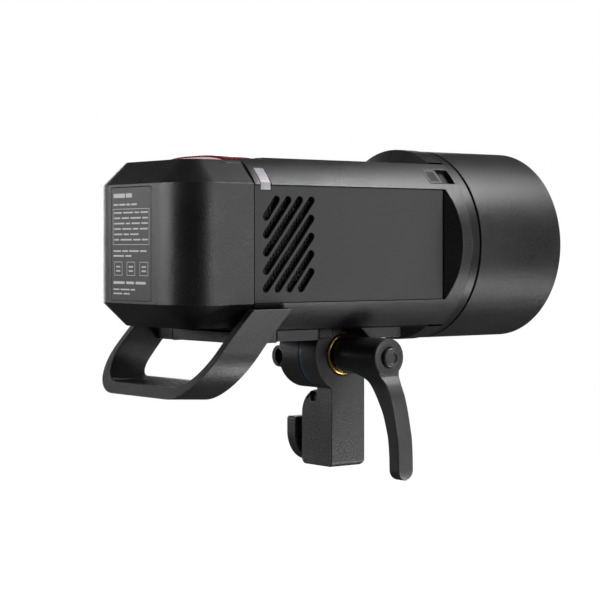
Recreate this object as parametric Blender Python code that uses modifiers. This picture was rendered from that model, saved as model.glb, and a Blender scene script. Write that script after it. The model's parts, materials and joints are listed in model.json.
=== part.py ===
"""Monolight strobe: studio flash head with a slide-on battery, carrying handle,
tilting stand bracket, bayonet mount and protective cap.

World frame: metres, +Z up, the light faces -Y, the origin is the centre of the
stand socket's mouth at the bottom of the bracket.  Dimensions below are in
millimetres in the head's own frame, whose origin is where the optical axis
crosses the seam between body and battery; FRAME moves them to the world.
"""
import math

import bmesh
import bpy
from mathutils import Matrix, Vector

MM = 0.001
FRAME = Vector((0.0, 104.5, 146.8))     # seam and optical axis, seen from the socket mouth

# ---- body -------------------------------------------------------------------
R_BODY = 65.0          # mount cylinder; the body's four corner strips lie on it
HX = 53.0              # half width over the side panels
HZ = 54.0              # half height over the top and bottom flats
Y_PANEL = -156.2       # front end of the side panels
Y_COLLAR = -170.6      # front face of the housing shells
R_IN = 60.0            # bore behind the corner strips
WALL_X = 47.6          # inner face of the side walls
FLOOR_X = 50.2         # bed of the side panels
WALL_Z = 51.5          # inner face of top and bottom walls
PANEL_Z = 36.2         # half height of a side panel
HX_LIP = 54.05         # half width over the lips above and below a side panel
GAP = 0.3
# ---- front ------------------------------------------------------------------
Y_RING = -178.0
Y_CAP0, Y_CAP1 = -179.6, -255.9
R_CAP = 64.5
# ---- battery ----------------------------------------------------------------
Y_BATT = 53.8
BATT_INSET = 14.7
BATT_ZS = 37.0         # where the 45 degree chamfer starts
BATT_R = 25.0          # vertical rear corners
# ---- bracket ----------------------------------------------------------------
TILT = (-100.5, -72.8)          # tilt axis: y, z
R_EAR = 24.0
STEM = (-90.3, -118.6)          # rear and front faces of the stem
STEM_Z = -146.8
SOCKET = (-104.5, 8.1, -99.0)   # axis y, radius, roof z
LOCK = (-104.5, -128.0)         # lock screw axis: y, z
# ---- handle -----------------------------------------------------------------
H_W, H_R, H_Z, H_T = 59.5, 29.0, -94.0, 6.1
H_TOP = -40.0

# =============================================================================
for ob in list(bpy.data.objects):
    bpy.data.objects.remove(ob, do_unlink=True)
for co in list(bpy.data.collections):
    bpy.data.collections.remove(co)
PARTS = bpy.data.collections.new("monolight_strobe")
CUTTERS = bpy.data.collections.new("cutters")
for co in (PARTS, CUTTERS):
    bpy.context.scene.collection.children.link(co)


def material(name, rgb, rough, metal=0.0, alpha=1.0, transmission=0.0):
    m = bpy.data.materials.new(name)
    m.use_nodes = True
    b = m.node_tree.nodes["Principled BSDF"]
    b.inputs["Base Color"].default_value = (*rgb, 1.0)
    b.inputs["Roughness"].default_value = rough
    b.inputs["Metallic"].default_value = metal
    b.inputs["Alpha"].default_value = alpha
    b.inputs["Transmission Weight"].default_value = transmission
    m.diffuse_color = (*rgb, alpha)
    return m


CHARCOAL = material("charcoal_painted_plastic", (0.020, 0.020, 0.021), 0.45)
PANEL = material("matte_grey_plastic", (0.070, 0.070, 0.071), 0.62)
BLACK = material("black_plastic", (0.012, 0.012, 0.013), 0.40)
PALE = material("light_pipe", (0.72, 0.69, 0.73), 0.30)
RED = material("red_plastic", (0.30, 0.008, 0.02), 0.25)
STEEL = material("steel", (0.55, 0.55, 0.56), 0.30, 1.0)
BRASS = material("brass", (0.80, 0.55, 0.18), 0.22, 1.0)
BLUE = material("blue_washer", (0.03, 0.13, 0.26), 0.35)
ALU = material("aluminium", (0.75, 0.75, 0.76), 0.35, 1.0)
CAST = material("black_cast_metal", (0.030, 0.030, 0.031), 0.42)
GLASS = material("glass", (0.9, 0.95, 0.97), 0.03, 0.0, 0.35, 0.9)
BOARD = material("circuit_board", (0.02, 0.16, 0.06), 0.45)
RUBBER = material("rubber", (0.015, 0.015, 0.015), 0.8)
BLUE_SLEEVE = material("blue_sleeve", (0.03, 0.06, 0.20), 0.35)
LABEL = material("label", (0.05, 0.05, 0.052), 0.4)
LCD = material("lcd_glass", (0.02, 0.03, 0.035), 0.08)
CERAMIC = material("ceramic", (0.80, 0.79, 0.75), 0.6)


def world(p):
    return (Vector(p) + FRAME) * MM


def put(name, bm, origin, mat=None, cutter=False):
    """Make an object of a bmesh drawn in head millimetres, with its origin there."""
    bmesh.ops.translate(bm, verts=bm.verts, vec=-Vector(origin))
    bmesh.ops.scale(bm, verts=bm.verts, vec=(MM, MM, MM))
    bmesh.ops.recalc_face_normals(bm, faces=bm.faces)
    me = bpy.data.meshes.new(name)
    bm.to_mesh(me)
    bm.free()
    return link(name, me, origin, mat, cutter)


def link(name, me, origin, mat=None, cutter=False):
    ob = bpy.data.objects.new(name, me)
    ob.location = world(origin)
    if cutter:
        CUTTERS.objects.link(ob)
        ob.hide_render = True
        ob.display_type = 'WIRE'
    else:
        PARTS.objects.link(ob)
        me.materials.append(mat)
    return ob


_count = [0]


def temp_name(stem):
    _count[0] += 1
    return "cut_%s_%03d" % (stem, _count[0])


# ---- primitive forms, all in head millimetres -------------------------------
def box(x, y, z):
    bm = bmesh.new()
    bmesh.ops.create_cube(bm, size=1.0)
    bmesh.ops.scale(bm, verts=bm.verts, vec=(x[1] - x[0], y[1] - y[0], z[1] - z[0]))
    bmesh.ops.translate(bm, verts=bm.verts, vec=((x[0] + x[1]) / 2, (y[0] + y[1]) / 2, (z[0] + z[1]) / 2))
    return bm


def turn_to(axis):
    """Rotation that takes +Z to +X, +Y or +Z."""
    if axis == 'X':
        return Matrix.Rotation(math.pi / 2, 4, 'Y')
    if axis == 'Y':
        return Matrix.Rotation(-math.pi / 2, 4, 'X')
    return Matrix.Identity(4)


def rod(axis, centre, r, span, seg=32, r2=None):
    """Cylinder or cone along an axis; centre holds the other two coordinates."""
    bm = bmesh.new()
    bmesh.ops.create_cone(bm, cap_ends=True, cap_tris=False, segments=seg,
                          radius1=r, radius2=r if r2 is None else r2, depth=span[1] - span[0])
    bmesh.ops.rotate(bm, verts=bm.verts, cent=(0, 0, 0), matrix=turn_to(axis).to_3x3())
    mid = (span[0] + span[1]) / 2
    a, b = centre
    at = {'X': (mid, a, b), 'Y': (a, mid, b), 'Z': (a, b, mid)}[axis]
    bmesh.ops.translate(bm, verts=bm.verts, vec=at)
    return bm


def outline(plane, points, span):
    """Flat outline in a plane, filled and given a thickness by a 2D curve."""
    cu = bpy.data.curves.new("outline", 'CURVE')
    cu.dimensions = '2D'
    cu.fill_mode = 'BOTH'
    cu.extrude = abs(span[1] - span[0]) / 2
    for loop in (points if isinstance(points[0][0], (tuple, list)) else [points]):
        sp = cu.splines.new('POLY')
        sp.points.add(len(loop) - 1)
        for p, (a, b) in zip(sp.points, loop):
            p.co = (a, b, 0.0, 1.0)
        sp.use_cyclic_u = True
    ob = bpy.data.objects.new("outline", cu)
    CUTTERS.objects.link(ob)
    deps = bpy.context.evaluated_depsgraph_get()
    me = bpy.data.meshes.new_from_object(ob.evaluated_get(deps))
    bpy.data.objects.remove(ob, do_unlink=True)
    bpy.data.curves.remove(cu)
    bm = bmesh.new()
    bm.from_mesh(me)
    bpy.data.meshes.remove(me)
    bmesh.ops.remove_doubles(bm, verts=bm.verts, dist=0.0005)
    mid = (span[0] + span[1]) / 2
    for v in bm.verts:
        a, b, c = v.co
        v.co = {'XY': (a, b, c + mid), 'XZ': (a, c + mid, b), 'YZ': (c + mid, a, b)}[plane]
    bmesh.ops.recalc_face_normals(bm, faces=bm.faces)
    return bm


def baked(ob):
    """The object's evaluated mesh."""
    deps = bpy.context.evaluated_depsgraph_get()
    me = bpy.data.meshes.new_from_object(ob.evaluated_get(deps))
    me.materials.clear()
    return me


def turned(name, profile, origin, mat=None, axis='Y', seg=64, cutter=False):
    """Closed (radius, position) profile turned about an axis by a Screw modifier."""
    me = bpy.data.meshes.new(name)
    o = {'X': origin[0], 'Y': origin[1], 'Z': origin[2]}[axis]
    pts = [(r * MM, 0.0, (h - o) * MM) for r, h in profile]
    closed = not (profile[0][0] < 1e-6 and profile[-1][0] < 1e-6)
    edges = [(i, i + 1) for i in range(len(pts) - 1)] + ([(len(pts) - 1, 0)] if closed else [])
    me.from_pydata(pts, edges, [])
    ob = link(name, me, origin, mat, cutter)
    ob.rotation_euler = turn_to(axis).to_euler()
    md = ob.modifiers.new("turn", 'SCREW')
    md.axis = 'Z'
    md.angle = 2 * math.pi
    md.steps = seg
    md.render_steps = seg
    md.use_merge_vertices = True
    md.merge_threshold = 0.00001
    md.use_normal_calculate = True
    md.use_smooth_shade = False
    # settle the faces outward for good
    deps = bpy.context.evaluated_depsgraph_get()
    new = bpy.data.meshes.new_from_object(ob.evaluated_get(deps))
    bm = bmesh.new()
    bm.from_mesh(new)
    bmesh.ops.remove_doubles(bm, verts=bm.verts, dist=0.000005)
    bmesh.ops.recalc_face_normals(bm, faces=bm.faces)
    bm.transform(turn_to(axis))
    bm.to_mesh(new)
    bm.free()
    ob.modifiers.remove(md)
    old = ob.data
    ob.data = new
    ob.rotation_euler = (0, 0, 0)
    bpy.data.meshes.remove(old)
    return ob


def boolean(ob, other, how):
    md = ob.modifiers.new(how.lower(), 'BOOLEAN')
    md.operation = how
    md.solver = 'EXACT'
    md.object = other
    return md


def cut(ob, bm_or_ob):
    other = bm_or_ob if isinstance(bm_or_ob, bpy.types.Object) else put(temp_name(ob.name), bm_or_ob, (0, 0, 0), cutter=True)
    return boolean(ob, other, 'DIFFERENCE')


def join(ob, bm_or_ob):
    other = bm_or_ob if isinstance(bm_or_ob, bpy.types.Object) else put(temp_name(ob.name), bm_or_ob, (0, 0, 0), cutter=True)
    return boolean(ob, other, 'UNION')


def common(ob, bm_or_ob):
    other = bm_or_ob if isinstance(bm_or_ob, bpy.types.Object) else put(temp_name(ob.name), bm_or_ob, (0, 0, 0), cutter=True)
    return boolean(ob, other, 'INTERSECT')


def arc(cx, cy, r, a0, a1, n):
    return [(cx + r * math.cos(math.radians(a0 + (a1 - a0) * i / n)),
             cy + r * math.sin(math.radians(a0 + (a1 - a0) * i / n))) for i in range(n + 1)]


def octagon(hx, hz, r, n=5):
    """Cylinder section with four flats: the body's section at a given offset."""
    a = math.degrees(math.acos(hx / r))
    b = math.degrees(math.asin(hz / r))
    pts = []
    for k in range(4):
        quarter = arc(0, 0, r, a, b, n)
        if k == 1:
            quarter = [(-x, y) for x, y in quarter[::-1]]
        elif k == 2:
            quarter = [(-x, -y) for x, y in quarter]
        elif k == 3:
            quarter = [(x, -y) for x, y in quarter[::-1]]
        pts += quarter
    return pts


# =============================================================================
# Body housing: one turned barrel, its flats, bore and pockets, then two shells
# =============================================================================
whole = put("cut_housing_whole", rod('Y', (0, 0), R_BODY, (Y_COLLAR, -0.15), seg=72), (0, 0, 0), cutter=True)
K_SIDE, K_CONE = 0.517, 0.51      # lean of the collar's rear faces: flat at the sides, conical above and below
cone = put(temp_name("cone"), rod('Y', (0, 0), 65.0 + 13.0 / K_CONE, (-170.0, -145.0), seg=72, r2=65.0 - 12.0 / K_CONE), (0, 0, 0), cutter=True)
for s in (-1, 1):
    y_lip = Y_PANEL - K_SIDE * (HX_LIP - HX)
    cut(whole, outline('XY', [(s * HX_LIP, 6), (s * HX_LIP, y_lip), (s * 82, Y_PANEL - K_SIDE * 29), (s * 82, 6)], (-80, 80)))
    cut(whole, outline('XY', [(s * HX, 7), (s * HX, Y_PANEL), (s * HX_LIP, y_lip), (s * (HX_LIP + 3), y_lip), (s * (HX_LIP + 3), 7)],
                     (-PANEL_Z - 0.25, PANEL_Z + 0.25)))
    a, b = sorted((s * HZ, s * 84))
    bevel = put(temp_name("bevel"), box((-80, 80), (-169.5, 6), (a, b)), (0, 0, 0), cutter=True)
    cut(bevel, cone)
    cut(whole, bevel)
inner = put(temp_name("inner"), outline('XZ', octagon(WALL_X, WALL_Z, R_IN), (-163.2, 1.0)), (0, 0, 0), cutter=True)
# thick floors under the latch pocket and round the tilt pocket
cut(inner, box((-41, 41), (-20.5, 3.0), (42.8, 56)))
cut(inner, box((-20, 29), (-128, -73), (-56, -44.5)))
cut(whole, inner)
cut(whole, rod('Y', (0, 0), R_IN, (-172, -162.6), seg=72))
cut(whole, box((-37.8, 37.8), (-18.0, 2.0), (45.0, 60.0)))
cut(whole, rod('X', TILT, 25.2, (-17.6, 26.2), seg=48))
for s in (-1, 1):
    a, b = sorted((s * FLOOR_X, s * 56))
    cut(whole, box((a, b), (Y_PANEL - GAP, 2.0), (-PANEL_Z - 0.4, PANEL_Z + 0.4)))
    a, b = sorted((s * 45, s * 52))
    cut(whole, box((a, b), (-49.0, -5.0), (-32.0, 32.0)))
a, b = 45, 52
cut(whole, box((a, b), (-150.0, -56.0), (-36.0, 36.0)))


def strip_outline(out, back, grow):
    """Light pipe section: up the flat, then round the corner strip."""
    t0, t1 = math.degrees(math.asin(37.63 / R_BODY)), math.degrees(math.asin((47.0 + grow) / R_BODY))
    outer = [(HX + out, 33.3 - grow)] + arc(0, 0, R_BODY + out, t0, t1, 4)
    return outer + arc(0, 0, R_BODY - back, t1, t0 + 0.4, 4) + [(HX - back, 33.3 - grow)]


for s in (-1, 1):
    pts = [(s * x, z) for x, z in strip_outline(2.0, 1.9, 0.25)]
    cut(whole, outline('XZ', pts, (-12.65, -4.55)))
    pts = [(s * x, z) for x, z in strip_outline(-0.05, 1.5, 0.0)]
    put("light_strip_left" if s < 0 else "light_strip_right",
        outline('XZ', pts, (-12.4, -4.8)), (s * 50, -8.6, 40), PALE)

# release slider's window, in the strip above the left panel
SL_ANGLE = 135.7


def at_slider(bm):
    bmesh.ops.rotate(bm, verts=bm.verts, cent=(0, 0, 0), matrix=Matrix.Rotation(math.radians(90 - SL_ANGLE), 3, 'Y'))
    return bm


cut(whole, at_slider(box((-6.6, 6.6), (-168.0, -145.8), (61.1, 72.0))))

whole_mesh = baked(whole)
for name, s in (("housing_left", -1), ("housing_right", 1)):
    ob = link(name, whole_mesh.copy(), (0, 0, 0), CHARCOAL)
    a, b = sorted((s * 0.12, s * -90))
    cut(ob, box((a, b), (-200, 20), (-90, 90)))
bpy.data.meshes.remove(whole_mesh)

slider = put("release_slider", at_slider(box((-6.2, 6.2), (-157.2, -146.2), (61.5, 64.85))), (-46, -151.7, 45), BLACK)

# =============================================================================
# Side panels, vent meshes and the control side
# =============================================================================
SLOTS = [((-18.3, 29.3), (-7.4, 14.8)), ((-27.4, 29.2), (-7.4, 3.7)), ((-36.6, 29.3), (-7.4, -7.3)),
         ((-45.8, 29.2), (-7.4, -18.5)), ((-45.6, 17.9), (-7.2, -29.5)), ((-45.6, 6.6), (-16.3, -29.5)),
         ((-45.6, -4.3), (-25.4, -29.6)), ((-45.6, -15.4), (-34.6, -29.6))]
SLOT_W = 4.9


def slot_outline(p, q, w, n=3):
    """Round-ended slot between two end points that lie on its tips."""
    d = Vector(q) - Vector(p)
    ang = math.degrees(math.atan2(d.y, d.x))
    u = d.normalized() * (w / 2)
    a, b = Vector(p) + u, Vector(q) - u
    return arc(b.x, b.y, w / 2, ang - 90, ang + 90, n) + arc(a.x, a.y, w / 2, ang + 90, ang + 270, n)


PANEL_Y = (Y_PANEL, -0.15)
for s, name in ((-1, "side_panel_left"), (1, "side_panel_right")):
    span = tuple(sorted((s * 50.5, s * HX)))
    loops = [[(PANEL_Y[0], -PANEL_Z), (PANEL_Y[1], -PANEL_Z), (PANEL_Y[1], PANEL_Z), (PANEL_Y[0], PANEL_Z)]]
    loops += [slot_outline(p, q, SLOT_W) for p, q in SLOTS]
    ob = put(name, outline('YZ', loops, span), (s * 51.7, -78, 0), PANEL)
    pts = [(s * x, z) for x, z in strip_outline(2.0, 1.9, 0.25)]
    cut(ob, outline('XZ', pts, (-12.65, -4.55)))
    a, b = sorted((s * 48.9, s * 49.8))
    put("vent_mesh_left" if s < 0 else "vent_mesh_right",
        box((a, b), (-48.6, -5.4), (-31.6, 31.6)), (s * 49.3, -27, 0), STEEL)

right = bpy.data.objects["side_panel_right"]
LCD_Y, LCD_Z = (-118.0, -58.0), (-3.0, 33.0)
cut(right, box((45, 60), LCD_Y, LCD_Z))
put("lcd_screen", box((48.2, 52.5), (LCD_Y[0] + GAP, LCD_Y[1] - GAP), (LCD_Z[0] + GAP, LCD_Z[1] - GAP)), (50.4, -88, 15), LCD)
BUTTONS = {"menu_button": (-64.0, -12.5, 4.6), "mode_button": (-80.0, -12.5, 4.6), "test_button": (-96.0, -12.5, 4.6),
           "power_button": (-138.0, -24.0, 5.5)}
for name, (y, z, r) in BUTTONS.items():
    cut(right, rod('X', (y, z), r + 0.3, (45, 60), seg=16))
    b = put(name, rod('X', (y, z), r, (49.4, 53.8), seg=16), (51.6, y, z), BLACK)
    join(b, rod('X', (y, z), r + 1.2, (48.4, 49.6), seg=16))
DIAL = (-138.0, 4.0)
cut(right, rod('X', DIAL, 4.2, (45, 60), seg=24))
dial = put("control_dial", rod('X', DIAL, 13.5, (53.4, 61.2), seg=32), (57, *DIAL), BLACK)
join(dial, rod('X', DIAL, 3.9, (48.2, 54.0), seg=24))
cut(dial, rod('X', DIAL, 6.5, (56.5, 64), seg=20))
put("set_button", rod('X', DIAL, 6.0, (58.0, 61.6), seg=20), (59.8, *DIAL), BLACK)
# rubber flap over the sockets, hinged along its lower edge
FLAP_Y, FLAP_Z, FLAP_X = (-112.0, -60.0), (-33.6, -20.6), (51.35, 52.85)
cut(right, box((51.1, 60), (FLAP_Y[0] - 0.4, FLAP_Y[1] + 0.4), (FLAP_Z[0] - 1.25, FLAP_Z[1] + 0.4)))
for y, r in ((-72.0, 2.9), (-84.0, 2.2)):
    cut(right, rod('X', (y, -27.5), r, (45, 60), seg=12))
cut(right, box((45, 60), (-105.0, -95.8), (-29.2, -26.0)))
flap = put("port_cover", box(FLAP_X, FLAP_Y, FLAP_Z), (52.1, -86.0, FLAP_Z[0]), RUBBER)
join(flap, rod('Y', (52.1, FLAP_Z[0]), 0.75, FLAP_Y, seg=12))

# =============================================================================
# Inside the body
# =============================================================================
bulk = put("rear_bulkhead", outline('XZ', octagon(WALL_X - 0.4, WALL_Z - 0.4, R_IN - 0.4), (-3.0, -0.6)), (0, -1.8, 0), BLACK)
cut(bulk, box((-70, 70), (-10, 10), (42.3, 80)))
cut(bulk, box((-17, 17), (-10, 10), (-34, -24)))
term = put("terminal_block", box((-20, 20), (-13.0, -3.4), (-37, -21)), (0, -8, -29), BLACK)
for x in (-11, 0, 11):
    join(term, box((x - 3.2, x + 3.2), (-6, 5.2), (-29.8, -28.2)))
fan_c = (-27.5, 0.0)
fan = put("fan_frame", box((-46.8, -34.8), (-50.4, -4.6), (-23, 23)), (-41, -27.5, 0), BLACK)
cut(fan, rod('X', fan_c, 21.6, (-60, -36.6), seg=40))
for k in range(4):
    w = 36.0
    b = outline('YZ', [arc(fan_c[0], fan_c[1], 20.6, 90 * k + 8, 90 * k + 82, 6) + arc(fan_c[0], fan_c[1], 10.5, 90 * k + 76, 90 * k + 14, 4)], (-38, -30))
    cut(fan, b)
rotor = put("fan_rotor", rod('X', fan_c, 9.5, (-45.8, -37.2), seg=24), (-41.5, *fan_c), BLACK)
for k in range(7):
    a = math.radians(360 / 7 * k)
    blade = box((-3.0, 3.0), (-0.6, 0.6), (8.6, 20.4))
    bmesh.ops.rotate(blade, verts=blade.verts, cent=(0, 0, 0), matrix=Matrix.Rotation(math.radians(38), 3, 'Z'))
    bmesh.ops.rotate(blade, verts=blade.verts, cent=(0, 0, 0), matrix=Matrix.Rotation(a, 3, 'X'))
    bmesh.ops.translate(blade, verts=blade.verts, vec=(-41.5, *fan_c))
    join(rotor, blade)
comb = [(-47.0, -20.0), (-47.0, -15.5)]
for k in range(8):
    y = -47.0 + 5.2 * k
    comb += [(y, 20.0), (y + 1.6, 20.0), (y + 1.6, -15.5)] if k == 0 else [(y, -15.5), (y, 20.0), (y + 1.6, 20.0), (y + 1.6, -15.5)]
comb += [(-9.0, -20.0)]
comb[-2] = (-9.0, -15.5)
put("heat_sink", outline('YZ', comb, (-28, 30)), (0, -28, 0), ALU)
for i, (x, z) in enumerate(((-17.8, -25.3), (17.8, -25.3), (-17.8, 10.7), (17.8, 10.7))):
    ob = put("capacitor_%d" % (i + 1), rod('Y', (x, z), 17.0, (-145.0, -60.0), seg=24), (x, -102, z), BLUE_SLEEVE)
put("main_board", box((-40, 40), (-150, -57), (33.0, 34.6)), (0, -104, 33.8), BOARD)

# =============================================================================
# Front: bezel ring, bayonet, reflector, tube, lamp, dome, cap
# =============================================================================
turned("front_ring", [(51.0, -170.9), (64.4, -170.9), (64.4, Y_RING), (62.6, Y_RING), (62.6, -179.2), (51.0, -179.2)],
       (0, -175, 0), BLACK, seg=60)
bay = turned("bayonet_ring", [(45.4, -164.6), (59.6, -164.6), (59.6, -169.8), (45.4, -169.8)], (0, -167, 0), ALU, seg=48)
LUGS = (90, 210, 330)
for a in LUGS:
    m = Matrix.Rotation(math.radians(90 - a), 3, 'Y')
    bm = box((-13, 13), (-172, -160), (42, 49.4))
    bmesh.ops.rotate(bm, verts=bm.verts, cent=(0, 0, 0), matrix=m)
    cut(bay, bm)
cap = turned("protective_cap", [(0, Y_CAP1), (63.2, Y_CAP1), (R_CAP, Y_CAP1 + 1.3), (R_CAP, Y_CAP0), (44.4, Y_CAP0),
                                (44.4, -165.0), (41.6, -165.0), (41.6, -182.2), (62.0, -182.2), (62.0, Y_CAP1 + 2.5), (0, Y_CAP1 + 2.5)],
             (0, -217, 0), CHARCOAL, seg=60)
for a in LUGS:
    m = Matrix.Rotation(math.radians(90 - a), 3, 'Y')
    bm = box((-9, 9), (-168.2, -165.2), (43.0, 48.2))
    bmesh.ops.rotate(bm, verts=bm.verts, cent=(0, 0, 0), matrix=m)
    join(cap, bm)
turned("reflector_plate", [(26.0, -162.9), (58.0, -162.9), (58.0, -164.2), (26.0, -164.2)], (0, -163.5, 0), ALU, seg=40)
turned("tube_socket", [(0, -148.5), (25.4, -148.5), (25.4, -167.0), (0, -167.0)], (0, -156, 0), CERAMIC, seg=32)
# ring-shaped flash tube on two legs
pts = []
for sgn in (1, -1):
    leg = [(sgn * 4.6, -167.4 - 34.6 * i / 4, 15.0) for i in range(4)]
    pts.append(leg)
ring = [(15.5 * math.sin(math.radians(a)), -205.0, 15.5 * math.cos(math.radians(a))) for a in range(24, 337, 13)]
path = pts[0] + [(5.0, -203.4, 14.9)] + ring + [(-5.0, -203.4, 14.9)] + pts[1][::-1]
cu = bpy.data.curves.new("tube", 'CURVE')
cu.dimensions = '3D'
cu.bevel_depth = 3.4 * MM
cu.bevel_resolution = 1
cu.use_fill_caps = True
sp = cu.splines.new('POLY')
sp.points.add(len(path) - 1)
for p, q in zip(sp.points, path):
    p.co = (*(Vector(q) * MM), 1.0)
tube = bpy.data.objects.new("flash_tube", cu)
PARTS.objects.link(tube)
tube.location = world((0, 0, 0))
cu.materials.append(GLASS)
turned("modelling_led", [(0, -167.4), (8.5, -167.4), (8.5, -174.0), (6.0, -177.0), (0, -178.0)], (0, -170, 0), ALU, seg=28)
dome = [(31.0, -164.6), (31.0, -214.0)] + [(31.0 * math.cos(math.radians(a)), -214.0 - 20.0 * math.sin(math.radians(a))) for a in (22, 45, 68)] + [(0, -234.0)]
dome += [(0, -232.0)] + [(29.0 * math.cos(math.radians(a)), -214.0 - 18.0 * math.sin(math.radians(a))) for a in (68, 45, 22)] + [(29.0, -214.0), (29.0, -164.6)]
# open profile from the axis round to the axis
k = dome.index((0, -234.0))
turned("glass_dome", dome[k + 1:] + dome[:k + 1], (0, -198, 0), GLASS, seg=28)

# =============================================================================
# Battery
# =============================================================================
def battery_form(inset_all, y0, y1, z1, zs):
    """Rounded tray form with 45 degree chamfers, as a loft of four like outlines."""
    n = 8

    def level(d, z):
        r = BATT_R - inset_all - d
        hx = HX - inset_all - d
        cy = Y_BATT - BATT_R
        right_ = [(hx, y0)] + [(HX - BATT_R + r * math.cos(math.radians(90 * i / n)), cy + r * math.sin(math.radians(90 * i / n))) for i in range(n + 1)]
        pts_ = right_ + [(-x, y) for x, y in right_[::-1]]
        return [(x, y, z) for x, y in pts_]
    top = z1 - zs
    rows = [level(top, -z1), level(0, -zs), level(0, zs), level(top, z1)]
    bm = bmesh.new()
    vs = [[bm.verts.new(p) for p in row] for row in rows]
    m = len(rows[0])
    for a_, b_ in zip(vs[:-1], vs[1:]):
        for i in range(m):
            j = (i + 1) % m
            bm.faces.new((a_[i], a_[j], b_[j], b_[i]))
    bm.faces.new(vs[0][::-1])
    bm.faces.new(vs[-1])
    bmesh.ops.recalc_face_normals(bm, faces=bm.faces)
    return bm


shell = put("battery_shell", battery_form(0.0, 0.15, Y_BATT, BATT_ZS + BATT_INSET, BATT_ZS), (0, 27, 0), CHARCOAL)
WALL_B = 2.4
cut(shell, battery_form(WALL_B, -2.0, Y_BATT - WALL_B, BATT_ZS + BATT_INSET - WALL_B, BATT_ZS - 1.0))
join(shell, box((-40.0, 40.0), (0.15, 13.0), (39.8, 50.2)))
cut(shell, box((-37.6, 37.6), (-1.0, 10.5), (45.2, 60)))
cut(shell, rod('Z', (0, 5), 4.4, (41.4, 47.0), seg=20))
LAB_X, LAB_Z = (-19.8, 25.3), 35.0
cut(shell, box((LAB_X[0] - GAP, LAB_X[1] + GAP), (Y_BATT - 0.9, 60), (-LAB_Z - GAP, LAB_Z + GAP)))
put("label_plate", box(LAB_X, (Y_BATT - 0.6, Y_BATT - 0.05), (-LAB_Z, LAB_Z)), (2.7, 53.4, 0), LABEL)
cover = put("battery_cover", battery_form(WALL_B + 0.3, 0.5, Y_BATT, BATT_ZS + BATT_INSET - WALL_B - 0.3, BATT_ZS - 1.0), (0, 1.6, 0), BLACK)
cut(cover, box((-80, 80), (2.7, 80), (-80, 80)))
cut(cover, box((-80, 80), (-10, 20), (39.4, 80)))
cut(cover, box((-17, 17), (-10, 20), (-33, -25)))
cells = put("cell_pack", rod('Z', (-27.6, 15.4), 9.4, (-33.2, 32.2), seg=12), (0, 24.6, 0), BLUE_SLEEVE)
for iy, y in enumerate((15.4, 33.8)):
    for ix, x in enumerate((-27.6, -9.2, 9.2, 27.6)):
        if ix or iy:
            join(cells, rod('Z', (x, y), 9.4, (-33.2, 32.2), seg=12))
put("battery_board", box((-36, 36), (4.0, 40.0), (33.2, 34.8)), (0, 22, 34), BOARD)

# crowned red latch over the seam, its spring in a well of the battery
crown = [(37.2 * (-1 + 2 * i / 20), 52.0 + 4.0 * (1 - abs(37.2 * (-1 + 2 * i / 20) / 38) ** 3)) for i in range(21)]
latch = put("battery_latch", outline('XZ', [(-37.2, 48.0)] + crown + [(37.2, 48.0)], (-17.5, 10.0)), (0, -3.7, 50), RED)


def coil(name, axis, centre, r, wire, span, turns, mat, per_turn=12):
    c = bpy.data.curves.new(name, 'CURVE')
    c.dimensions = '3D'
    c.bevel_depth = wire * MM
    c.bevel_resolution = 1
    c.use_fill_caps = True
    n = int(turns * per_turn)
    s_ = c.splines.new('POLY')
    s_.points.add(n)
    for i in range(n + 1):
        t = i / n
        a_ = 2 * math.pi * turns * t
        h = (span[0] + wire) + (span[1] - span[0] - 2 * wire) * t
        p = (centre[0] + r * math.cos(a_), centre[1] + r * math.sin(a_))
        q = {'X': (h, *p), 'Z': (*p, h)}[axis]
        s_.points[i].co = (*(Vector(q) * MM), 1.0)
    ob_ = bpy.data.objects.new(name, c)
    PARTS.objects.link(ob_)
    ob_.location = world((0, 0, 0))
    c.materials.append(mat)
    return ob_


coil("latch_spring", 'Z', (0, 5), 3.4, 0.45, (41.7, 47.8), 3.0, STEEL)

# =============================================================================
# Handle, and the tilt mount under the body
# =============================================================================
def lean(z):
    """Where the handle's rear edge runs at a height."""
    t = H_TOP - z
    return 5.13 + 1.04 * t - 9.2 * (t / 50.0) ** 2


def handle_form():
    """Leaning U: an outer and an inner outline at the rear and front edges, lofted."""
    n_leg, n_arc, n_bar = 6, 10, 8

    def path_(w, r, zb):
        half = [(w, H_TOP + (zb + r - H_TOP) * i / n_leg) for i in range(n_leg)]
        half += [(w - r * (1 - math.cos(math.radians(90 * i / n_arc))), zb + r - r * math.sin(math.radians(90 * i / n_arc))) for i in range(n_arc + 1)]
        half += [((w - r) * (1 - i / (n_bar / 2)), zb) for i in range(1, n_bar // 2)]
        return half + [(0.0, zb)] + [(-x, z) for x, z in half[::-1]]

    outer = path_(H_W, H_R, H_Z)
    outer_f = path_(H_W, H_R, H_Z - 1.5)
    inner_r = path_(H_W - H_T, H_R - H_T, H_Z + 7.0)
    inner_f = path_(H_W - H_T, 10.0, H_Z + 9.0)
    rings = []
    for o, of, ir, if_ in zip(outer, outer_f, inner_r, inner_f):
        rings.append([(o[0], lean(o[1]), o[1]), (ir[0], lean(ir[1]), ir[1]),
                      (if_[0], lean(if_[1]) - 30.1, if_[1]), (of[0], lean(of[1]) - 30.1, of[1])])
    bm = bmesh.new()
    vs = [[bm.verts.new(p) for p in ring_] for ring_ in rings]
    for a_, b_ in zip(vs[:-1], vs[1:]):
        for i in range(4):
            j = (i + 1) % 4
            bm.faces.new((a_[i], a_[j], b_[j], b_[i]))
    bm.faces.new(vs[0])
    bm.faces.new(vs[-1][::-1])
    bmesh.ops.recalc_face_normals(bm, faces=bm.faces)
    return bm


handle = put("handle", handle_form(), (0, 0, -56), CAST)
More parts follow.
